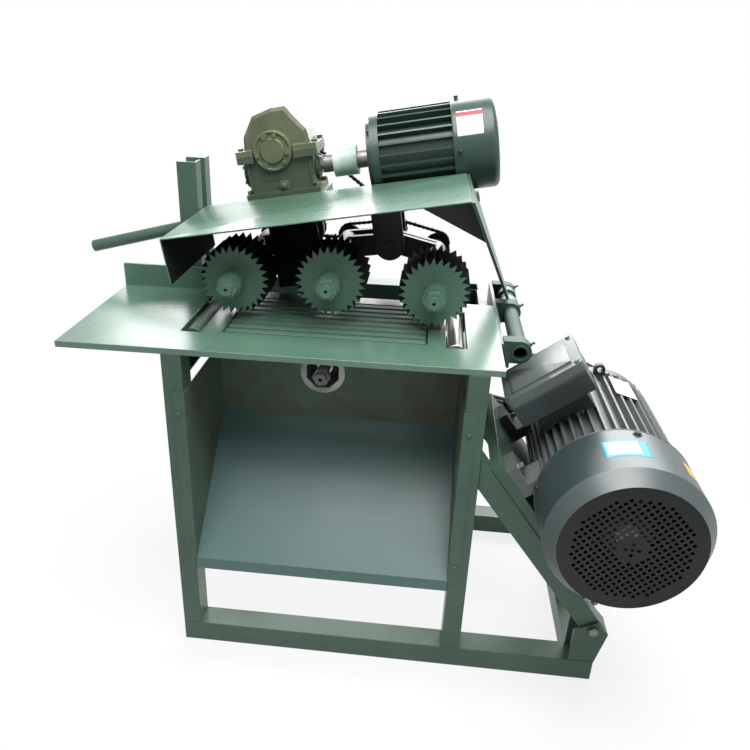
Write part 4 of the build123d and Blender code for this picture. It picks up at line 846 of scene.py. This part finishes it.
class SAW_OT_belts(bpy.types.Operator):
    """Makes the three V-belts that join the main motor to the arbor"""

    bl_idname = "saw.belts"
    bl_label = "V-belts"

    def execute(self, context):
        sizes = context.scene.saw_sizes
        low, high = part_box("v_belts")
        arbor_seat, motor_seat = 0.0533, 0.0733
        runs = loop_line([(MOTOR_X, MOTOR_Z, motor_seat), (ARBOR_X, ARBOR_Z, arbor_seat)])
        whole = sum(run[6] for run in runs)
        thick, lift, edge = 0.01, 0.0003, 0.006
        top, foot = sizes.belt_top / 2, sizes.belt_foot / 2
        section = [
            (-foot, lift), (foot, lift), (top, thick * 0.72), (top, thick * 0.9), (top * 0.9, thick),
            (-top * 0.9, thick), (-top, thick * 0.9), (-top, thick * 0.72),
        ]

        def fill(shape):
            for middle in (low.y + edge, (low.y + high.y) / 2, high.y - edge):
                rings = []
                for n in range(sizes.belt_steps):
                    (x, z), out = along_loop(runs, whole * n / sizes.belt_steps)
                    rings.append([
                        shape.verts.new((x + out[0] * rise, middle + across, z + out[1] * rise))
                        for across, rise in section
                    ])
                join_rings(shape, rings, smooth=True, closed=True)

        belts = piece("belt_loops", fill, ["belt_black"], None)
        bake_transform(belts)
        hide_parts("v_belts")
        return {"FINISHED"}


class SAW_OT_chains(bpy.types.Operator):
    """Makes the roller chains: the long one from the reducer and the short one on each swing arm"""

    bl_idname = "saw.chains"
    bl_label = "Chains"

    def execute(self, context):
        sizes = context.scene.saw_sizes
        sprocket, drive_width, arm_width = 0.033, 0.0072, 0.0082
        output = on_deck(OUTPUT_U, 0, OUTPUT_V)
        corners = [(LAYSHAFT_X[0], LAYSHAFT_Z), (LAYSHAFT_X[1], LAYSHAFT_Z), (output.x, output.z)]
        drive = loop_line([(x, z, sprocket) for x, z in corners])
        low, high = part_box("drive_chain")
        made = piece(
            "drive_chain_links", lambda shape: chain(shape, drive, (low.y + high.y) / 2, drive_width, sizes),
            ["oiled_steel"], "feed_frame",
        )
        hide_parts("drive_chain")
        left, right = LAYSHAFT_X
        near, far = 0.608, 0.624
        for side, pivot, y in (("left", left, far), ("middle", right, near), ("right", right, far)):
            ends = sorted([(pivot, LAYSHAFT_Z, sprocket), (*WHEELS[side], sprocket)])
            line = loop_line([ends[1], ends[0]])
            piece(
                f"{side}_chain_links", lambda shape: chain(shape, line, y, arm_width, sizes, rollers=False),
                ["oiled_steel"], f"{side}_arm",
            )
        return {"FINISHED"}


class SAW_OT_labels(bpy.types.Operator):
    """Makes the blank labels on both motors and the blank plate on the main motor's ribs"""

    bl_idname = "saw.labels"
    bl_label = "Blank labels"

    def execute(self, context):
        sizes = context.scene.saw_sizes
        thick = sizes.label_thick
        motor_line = (MOTOR_X, 0, MOTOR_Z)
        whole = ((0, 1), (0, 1))
        piece("motor_label", lambda shape: curved_label(
            shape, motor_line, BACK, COVER_RADIUS, (-0.134, -0.072), (-21.5, 9.5), thick,
            [(*whole, 1), ((0.16, 0.9), (0.1, 0.8), 0)],
        ), ["label_white", "label_blue"], "motor_carriage")
        piece("side_label", lambda shape: curved_label(
            shape, motor_line, BACK, COVER_RADIUS, (-0.125, -0.075), (40, 47), thick, [],
        ), ["label_yellow"], "motor_carriage")
        piece("feed_motor_label", lambda shape: curved_label(
            shape, on_feed_line(0), DECK_U, FEED_COVER_RADIUS, (0.637, 0.697), (38, 72), thick,
            [((0, 1), (0.04, 0.26), 1)], up=DECK_V,
        ), ["label_white", "label_red"], "feed_frame")

        def rib_plate(shape):
            angle = math.radians(17)
            out = Vector((math.sin(angle), 0, math.cos(angle)))
            middle = Vector((MOTOR_X, 0.218, MOTOR_Z)) + out * RIB_RADIUS
            half_long, half_wide, inset = 0.047, 0.026, 0.005
            corners = rectangle(half_long, half_wide)
            prism(shape, middle, out, corners, sizes.plate_thick, 0.0003, 0, across=BACK)
            radius = sizes.rivet
            for x, y in rectangle(half_long - inset, half_wide - inset):
                at = middle + frame_along(out, BACK) @ Vector((x, y, sizes.plate_thick))
                lathe(shape, at, out, [
                    (radius, -0.0003), (radius * 0.9, radius * 0.3), (radius * 0.5, radius * 0.55),
                    (0, radius * 0.62),
                ], 16, 1)

        piece("rib_plate", rib_plate, ["plate_silver", "zinc"], "motor_carriage")
        return {"FINISHED"}


class SAW_OT_bolts(bpy.types.Operator):
    """Makes the bolt heads, screws and grease nipples of the stand, the motor bed and the hinge"""

    bl_idname = "saw.bolts"
    bl_label = "Bolts and screws"

    def execute(self, context):
        sizes = context.scene.saw_sizes

        def stand(shape):
            for y, out in ((-0.03, FRONT), (0.03, BACK), (0.28, FRONT), (0.34, BACK)):
                bolt(shape, on_motor(0.3054, y, -0.209), out, 0.0212, height=0.0108)
            for y in (0.0, 0.31):
                bolt(shape, on_motor(0.252, y, -0.1725), MOTOR_S, 0.0145, height=0.0104)
                bolt(shape, on_motor(0.227, y, -0.1725), MOTOR_S, 0.0148, sizes.washer, 0.006)
            flange = (ARBOR_X, 0.329, ARBOR_Z)
            bolt_ring(shape, flange, BACK, 0.07, 6, sizes.bolt_flats, 30, sizes.washer)
            for y in (0.22, 0.3, 0.37, 0.509):
                bolt(shape, (0.382, y, 0.752), RIGHT, sizes.bolt_flats, sizes.washer)
            for x in (-0.33, 0.29):
                for z in (0.59, 0.69):
                    bolt(shape, (x, 0.317, z), BACK, sizes.bolt_flats, sizes.washer)

        piece("stand_bolts", stand, ["zinc_dull"], "frame")

        def hinge(shape):
            aslant = Vector((0.84, 0, 0.54)).normalized()
            for y in PILLOWS:
                for across in (-0.01, 0.01):
                    bolt(shape, (0.392, y + across, HINGE_Z - 0.034), RIGHT, 0.0118, height=0.0075)
                nipple(shape, Vector((HINGE_X, y, HINGE_Z)) + aslant * 0.0258, aslant)

        piece("hinge_bolts", hinge, ["hinge_green"], "frame")

        def panel(shape):
            for x in (-0.3135, 0.3135):
                for z in (0.302, 0.648):
                    slot_screw(shape, (x, -0.032, z), FRONT, 0.0058)

        screws = piece("panel_screws", panel, ["machine_green"], "frame")
        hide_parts("chute_screws")

        def feet(shape):
            for s in (-0.14, 0.14):
                for y in (0.018, 0.272):
                    bolt(shape, on_motor(s, y, -0.138), MOTOR_N, 0.0195, sizes.washer, 0.0095)

        heads = piece("motor_foot_bolts", feet, ["zinc_dull"], "motor_carriage")
        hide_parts("motor_bolts")
        return {"FINISHED"}


class SAW_OT_welds(bpy.types.Operator):
    """Makes the weld beads of the stand, the guide posts and the feed frame"""

    bl_idname = "saw.welds"
    bl_label = "Welds"

    def execute(self, context):
        sizes = context.scene.saw_sizes

        def stand(shape):
            for front, back in ((-0.03, 0.03), (0.545, 0.605)):
                for x in (-0.301, 0.301, 0.345):
                    weld(shape, (x, front + 0.004, 0.056), (x, back - 0.004, 0.056), sizes)
            for x in (-0.345, -0.301, 0.301, 0.345):
                weld(shape, (x, -0.024, 0.786), (x, 0.026, 0.786), sizes)
            for y in (0.382, 0.458):
                weld(shape, (-0.416, y, 0.786), (-0.376, y, 0.786), sizes)
                weld(shape, (-0.372, y + 0.003, 0.786), (-0.372, y + 0.037, 0.786), sizes)
            for y in (-0.03, 0.03, 0.28, 0.34):
                weld(shape, (0.612, y, 0.056), (0.66, y, 0.056), sizes)
            weld(shape, (0.374, 0.14, 0.73), (0.374, 0.6, 0.73), sizes, 0.8)
            weld(shape, (-0.57, 0.37, 0.8), (-0.38, 0.37, 0.8), sizes, 0.7)

        piece("stand_welds", stand, ["machine_green"], "frame")

        def feed(shape):
            under, right = -0.0035, 0.6495
            weld(shape, on_deck(right, 0.08, under), on_deck(right, 0.415, under), sizes)
            for y in (0.24, 0.246):
                weld(shape, on_deck(0.51, y, under), on_deck(0.645, y, under), sizes, 0.7)
            root = on_deck(0.005, 0.44, -0.0405)
            turned_to = frame_along(DECK_U)
            ring = [root + turned_to @ Vector((*polar(0.0162, n * math.pi / 12), -0.0006)) for n in range(25)]
            for start, end in zip(ring, ring[1:]):
                weld(shape, start, end, sizes, 0.8)
            for u in (0.092, 0.302):
                weld(shape, on_deck(u, 0.435, -0.06), on_deck(u, 0.575, -0.06), sizes)

        piece("feed_frame_welds", feed, ["machine_green"], "feed_frame")
        return {"FINISHED"}


class SAW_OT_reducer_trim(bpy.types.Operator):
    """Makes the reducer's worm caps, bolts, drain plug, sight glass, blank pad and the bearing cap's ring"""

    bl_idname = "saw.reducer_trim"
    bl_label = "Reducer trim"

    def execute(self, context):
        sizes = context.scene.saw_sizes

        def castings(shape):
            right_cap = on_feed_line(0.279)
            lathe(shape, right_cap, DECK_U, [
                (0.0153, 0), (0.0345, 0), (0.0345, 0.0075), (0.032, 0.0095), (0.0225, 0.0095), (0.021, 0.0145),
                (0.0153, 0.0145), (0.0153, 0),
            ], 48)
            left_cap = on_feed_line(0.119)
            lathe(shape, left_cap, -DECK_U, [
                (0, 0), (0.0345, 0), (0.0345, 0.0195), (0.032, 0.0215), (0.02, 0.0215), (0.018, 0.0235),
                (0, 0.0245),
            ], 48)
            pad = on_deck(0.186, 0.448, 0.046)
            prism(shape, pad - FRONT * BED, FRONT, rectangle(0.027, 0.0095), 0.002, 0.0008, 0, across=DECK_U)
            for u in (0.121, 0.277):
                rib = on_deck(u, 0.448, 0.05)
                prism(shape, rib - FRONT * BED, FRONT, rectangle(0.034, 0.003), 0.005, 0.0012, 0, across=DECK_V)

        piece("reducer_castings", castings, ["reducer_low"], "feed_frame")

        def fixings(shape):
            cap = on_deck(OUTPUT_U, 0.437, OUTPUT_V)
            lathe(shape, cap, FRONT, [
                (0.0395, -BED), (0.0485, -BED), (0.0475, 0.0025), (0.0445, 0.004), (0.0415, 0.0025),
                (0.0395, -BED),
            ], 64)
            for u in (0.111, 0.287):
                for y in (0.46, 0.55):
                    bolt(shape, on_deck(u, y, 0.009), DECK_V, 0.0147, height=0.0086)
            for u in (0.1055, 0.2925):
                for y in (0.462, 0.548):
                    bolt(shape, on_deck(u, y, 0.112), DECK_V, 0.0127, height=0.0086)
                    bolt(shape, on_deck(u, y, 0.088), -DECK_V, 0.0127, height=0.007)
            bolt_ring(shape, on_feed_line(0.2885), DECK_U, 0.0275, 4, 0.008, 45)
            bolt_ring(shape, on_feed_line(0.0975), -DECK_U, 0.0265, 4, 0.008, 45)
            bolt(shape, on_deck(0.203, 0.448, 0.0215), FRONT, 0.015, sizes.washer, 0.008)
            bolt_ring(shape, on_deck(OUTPUT_U, 0.432, OUTPUT_V), FRONT, 0.038, 3, 0.0085, 112)

        piece("reducer_fixings", fixings, ["reducer_paint"], "feed_frame")

        def sight_glass(shape):
            at = on_deck(0.245, 0.562, 0.06)
            lathe(shape, at, BACK, [
                (0, -BED), (0.0125, -BED), (0.0125, 0.003), (0.0115, 0.0045), (0.009, 0.0045), (0.0085, 0.002),
            ], 36)
            lathe(shape, at, BACK, [(0.0085, 0.002), (0.006, 0.0028), (0, 0.0031)], 36, 1)

        piece("sight_glass", sight_glass, ["zinc_dull", "black_plastic"], "feed_frame")
        return {"FINISHED"}


class SAW_OT_motor_trim(bpy.types.Operator):
    """Makes the screws and rims of both fan covers, the end-shield bolts and the closed cable gland"""

    bl_idname = "saw.motor_trim"
    bl_label = "Motor trim"

    def execute(self, context):
        def round_motor(angle):
            return Vector((math.sin(angle), 0, math.cos(angle)))

        def main_screws(shape):
            for degrees in (6, 96, 186, 276):
                out = round_motor(math.radians(degrees))
                at = Vector((MOTOR_X, -0.043, MOTOR_Z)) + out * COVER_RADIUS
                lathe(shape, at, out, [
                    (0, -BED), (0.0095, -BED), (0.0095, 0.001), (0.009, 0.0014), (0, 0.0014),
                ], 28)
                slot_screw(shape, at + out * 0.0013, out, 0.0065)

        piece("fan_cover_screws", main_screws, ["black_paint_and_shade"], "motor_carriage")

        def rolled_rim(shape):
            lathe(shape, (MOTOR_X, -0.025, MOTOR_Z), FRONT, [
                (COVER_RADIUS - 0.0012, 0), (COVER_RADIUS + 0.0007, 0.0002), (COVER_RADIUS + 0.0012, 0.0014),
                (COVER_RADIUS + 0.0007, 0.0026), (COVER_RADIUS - 0.0012, 0.0032),
            ], 120)

        piece("fan_cover_rim", rolled_rim, ["cover_paint"], "motor_carriage")

        def shield_bolts(shape):
            bolt_ring(shape, (MOTOR_X, 0.33, MOTOR_Z), BACK, 0.137, 4, 0.014, 45, 0.0014)
            bolt_ring(shape, (MOTOR_X, 0.405, MOTOR_Z), BACK, 0.055, 4, 0.01, 45)

        piece("end_shield_bolts", shield_bolts, ["zinc_dull"], "motor_carriage")

        def gland(shape):
            at = on_motor(-0.226, 0.14, -0.088)
            prism(shape, at + MOTOR_N * BED, -MOTOR_N, hexagon(0.04), 0.009, 0.0015)
            lathe(shape, at - MOTOR_N * 0.0085, -MOTOR_N, [
                (0.0165, 0), (0.0165, 0.012), (0.015, 0.015), (0.009, 0.0165), (0.0085, 0.0145), (0, 0.0145),
            ], 36)

        piece("closed_gland", gland, ["black_plastic"], "motor_carriage")

        def feed_fixings(shape):
            bolt_ring(shape, on_feed_line(0.429), -DECK_U, 0.0955, 4, 0.0095, 45)
            for degrees in (0, 90, 180, 270):
                angle = math.radians(degrees)
                out = DECK_V * math.cos(angle) + FRONT * math.sin(angle)
                at = on_feed_line(0.64) + out * FEED_COVER_RADIUS
                lathe(shape, at, out, [
                    (0, -BED), (0.0055, -BED), (0.0055, 0.002), (0.0042, 0.0026), (0.0042, 0.0046),
                    (0.0054, 0.0056), (0.0054, 0.0078), (0.004, 0.009), (0, 0.0094),
                ], 24)

        piece("feed_motor_fixings", feed_fixings, ["black_paint_and_shade"], "feed_frame")

        def feed_rim(shape):
            lathe(shape, on_feed_line(0.6255), DECK_U, [
                (0.1045, 0), (0.1078, 0.0003), (0.1083, 0.0016), (0.1078, 0.0029), (0.1068, 0.0033),
            ], 96)

        piece("feed_cover_rim", feed_rim, ["feed_motor_enamel"], "feed_frame")
        return {"FINISHED"}


class SAW_OT_stage(bpy.types.Operator):
    """Makes the studio floor, its light, the sky and the camera"""

    bl_idname = "saw.stage"
    bl_label = "Stage"

    def execute(self, context):
        stage = context.scene.saw_stage
        self.floor(stage)
        self.sky(context.scene, stage)
        self.lamp("key_lamp", (0.25, -0.5, 3.05), (0.15, 0.1, 0.7), 2.4, 2.4, stage.key)
        self.lamp("fill_lamp", (2.4, -1.2, 1.8), (0.2, 0.2, 0.6), 1.8, 1.8, stage.fill)
        self.lamp("rear_lamp", (0.35, 2.7, 2.1), (0.1, 0.1, 0.9), 4.4, 1.9, stage.rear)
        self.camera(context.scene)
        context.scene.view_settings.view_transform = "Standard"
        return {"FINISHED"}

    def seen(self, tree):
        """One for the rays that show the background: the camera's, and those that gloss or glass sends on."""
        rays = add(tree, "ShaderNodeLightPath").outputs
        gloss = figure(tree, "MAXIMUM", rays["Is Glossy Ray"], rays["Is Transmission Ray"])
        return figure(tree, "MAXIMUM", rays["Is Camera Ray"], gloss)

    def floor(self, stage):
        mesh = bpy.data.meshes.new("studio_floor")
        shape = bmesh.new()
        bmesh.ops.create_grid(shape, x_segments=8, y_segments=8, size=14.0)
        shape.to_mesh(mesh)
        shape.free()
        floor = bpy.data.objects.new("studio_floor", mesh)
        bpy.context.scene.collection.objects.link(floor)
        material = bpy.data.materials.new("studio_white")
        material.use_nodes = True
        tree = material.node_tree
        tree.nodes.clear()
        matt = add(tree, "ShaderNodeBsdfDiffuse", Color=screen(stage.floor))
        glow = add(tree, "ShaderNodeEmission", Color=(1, 1, 1, 1), Strength=1.0)
        where = add(tree, "ShaderNodeVectorMath")
        where.operation = "DISTANCE"
        plug(tree, place_in(tree), where.inputs[0])
        where.inputs[1].default_value = (0.15, 0.28, 0)
        far = spread(tree, where.outputs["Value"], 0.7, 1.5, 0.8, 1.0)
        share = figure(tree, "MULTIPLY", self.seen(tree), far)
        both = add(tree, "ShaderNodeMixShader")
        plug(tree, share, both.inputs[0])
        plug(tree, matt.outputs[0], both.inputs[1])
        plug(tree, glow.outputs[0], both.inputs[2])
        plug(tree, both.outputs[0], add(tree, "ShaderNodeOutputMaterial").inputs[0])
        mesh.materials.append(material)

    def sky(self, scene, stage):
        world = bpy.data.worlds.new("studio_sky")
        scene.world = world
        world.use_nodes = True
        tree = world.node_tree
        background = tree.nodes["Background"]
        background.inputs["Color"].default_value = (1, 1, 1, 1)
        strength = spread(tree, self.seen(tree), 0.0, 1.0, stage.sky, 1.0)
        plug(tree, strength, background.inputs["Strength"])

    def lamp(self, name, at, aim, wide, high, watts):
        light = bpy.data.lights.new(name, "AREA")
        light.shape = "ELLIPSE"
        light.size = wide
        light.size_y = high
        light.energy = watts
        made = bpy.data.objects.new(name, light)
        bpy.context.scene.collection.objects.link(made)
        made.location = at
        made.rotation_mode = "QUATERNION"
        made.rotation_quaternion = (Vector(aim) - Vector(at)).to_track_quat("-Z", "Y")

    def camera(self, scene):
        lens = bpy.data.cameras.new("photo_camera")
        lens.sensor_width = 36
        lens.lens = 35.67
        lens.shift_x = 0.0356
        lens.shift_y = 0.0274
        made = bpy.data.objects.new("photo_camera", lens)
        scene.collection.objects.link(made)
        yaw, pitch, roll = -0.103, 0.451, -0.027
        ahead = Vector((math.sin(yaw) * math.cos(pitch), math.cos(yaw) * math.cos(pitch), -math.sin(pitch)))
        right = Vector((math.cos(yaw), -math.sin(yaw), 0))
        down = ahead.cross(right)
        side = right * math.cos(roll) + down * math.sin(roll)
        under = down * math.cos(roll) - right * math.sin(roll)
        turned_to = Matrix((side, -under, -ahead)).transposed().to_4x4()
        made.matrix_world = Matrix.Translation((0.20001, -1.4212, 1.39846)) @ turned_to
        scene.camera = made


class SAW_PT_panel(bpy.types.Panel):
    """Lists the saw's colours, sizes and pieces"""

    bl_idname = "SAW_PT_panel"
    bl_label = "Multi-rip saw"
    bl_space_type = "VIEW_3D"
    bl_region_type = "UI"
    bl_category = "Saw"

    def draw(self, context):
        for operator in operators:
            self.layout.operator(operator.bl_idname)
        for group in ("saw_paint", "saw_sizes", "saw_stage"):
            column = self.layout.column(align=True)
            settings = getattr(context.scene, group)
            for name in settings.__annotations__:
                column.prop(settings, name)


groups = {"saw_paint": SawPaint, "saw_sizes": SawSizes, "saw_stage": SawStage}
operators = (
    SAW_OT_finishes, SAW_OT_paint_solids, SAW_OT_belts, SAW_OT_chains, SAW_OT_labels, SAW_OT_bolts,
    SAW_OT_welds, SAW_OT_reducer_trim, SAW_OT_motor_trim, SAW_OT_stage,
)


def register():
    for cls in (*groups.values(), *operators, SAW_PT_panel):
        bpy.utils.register_class(cls)
    for name, group in groups.items():
        setattr(bpy.types.Scene, name, PointerProperty(type=group))


def unregister():
    for name in groups:
        delattr(bpy.types.Scene, name)
    for cls in (SAW_PT_panel, *reversed(operators), *groups.values()):
        bpy.utils.unregister_class(cls)


def main():
    register()
    bpy.ops.saw.finishes()
    bpy.ops.saw.paint_solids()
    bpy.ops.saw.belts()
    bpy.ops.saw.chains()
    bpy.ops.saw.labels()
    bpy.ops.saw.bolts()
    bpy.ops.saw.welds()
    bpy.ops.saw.reducer_trim()
    bpy.ops.saw.motor_trim()
    bpy.ops.saw.stage()
    bpy.context.view_layer.update()


if __name__ == "__main__":
    main()
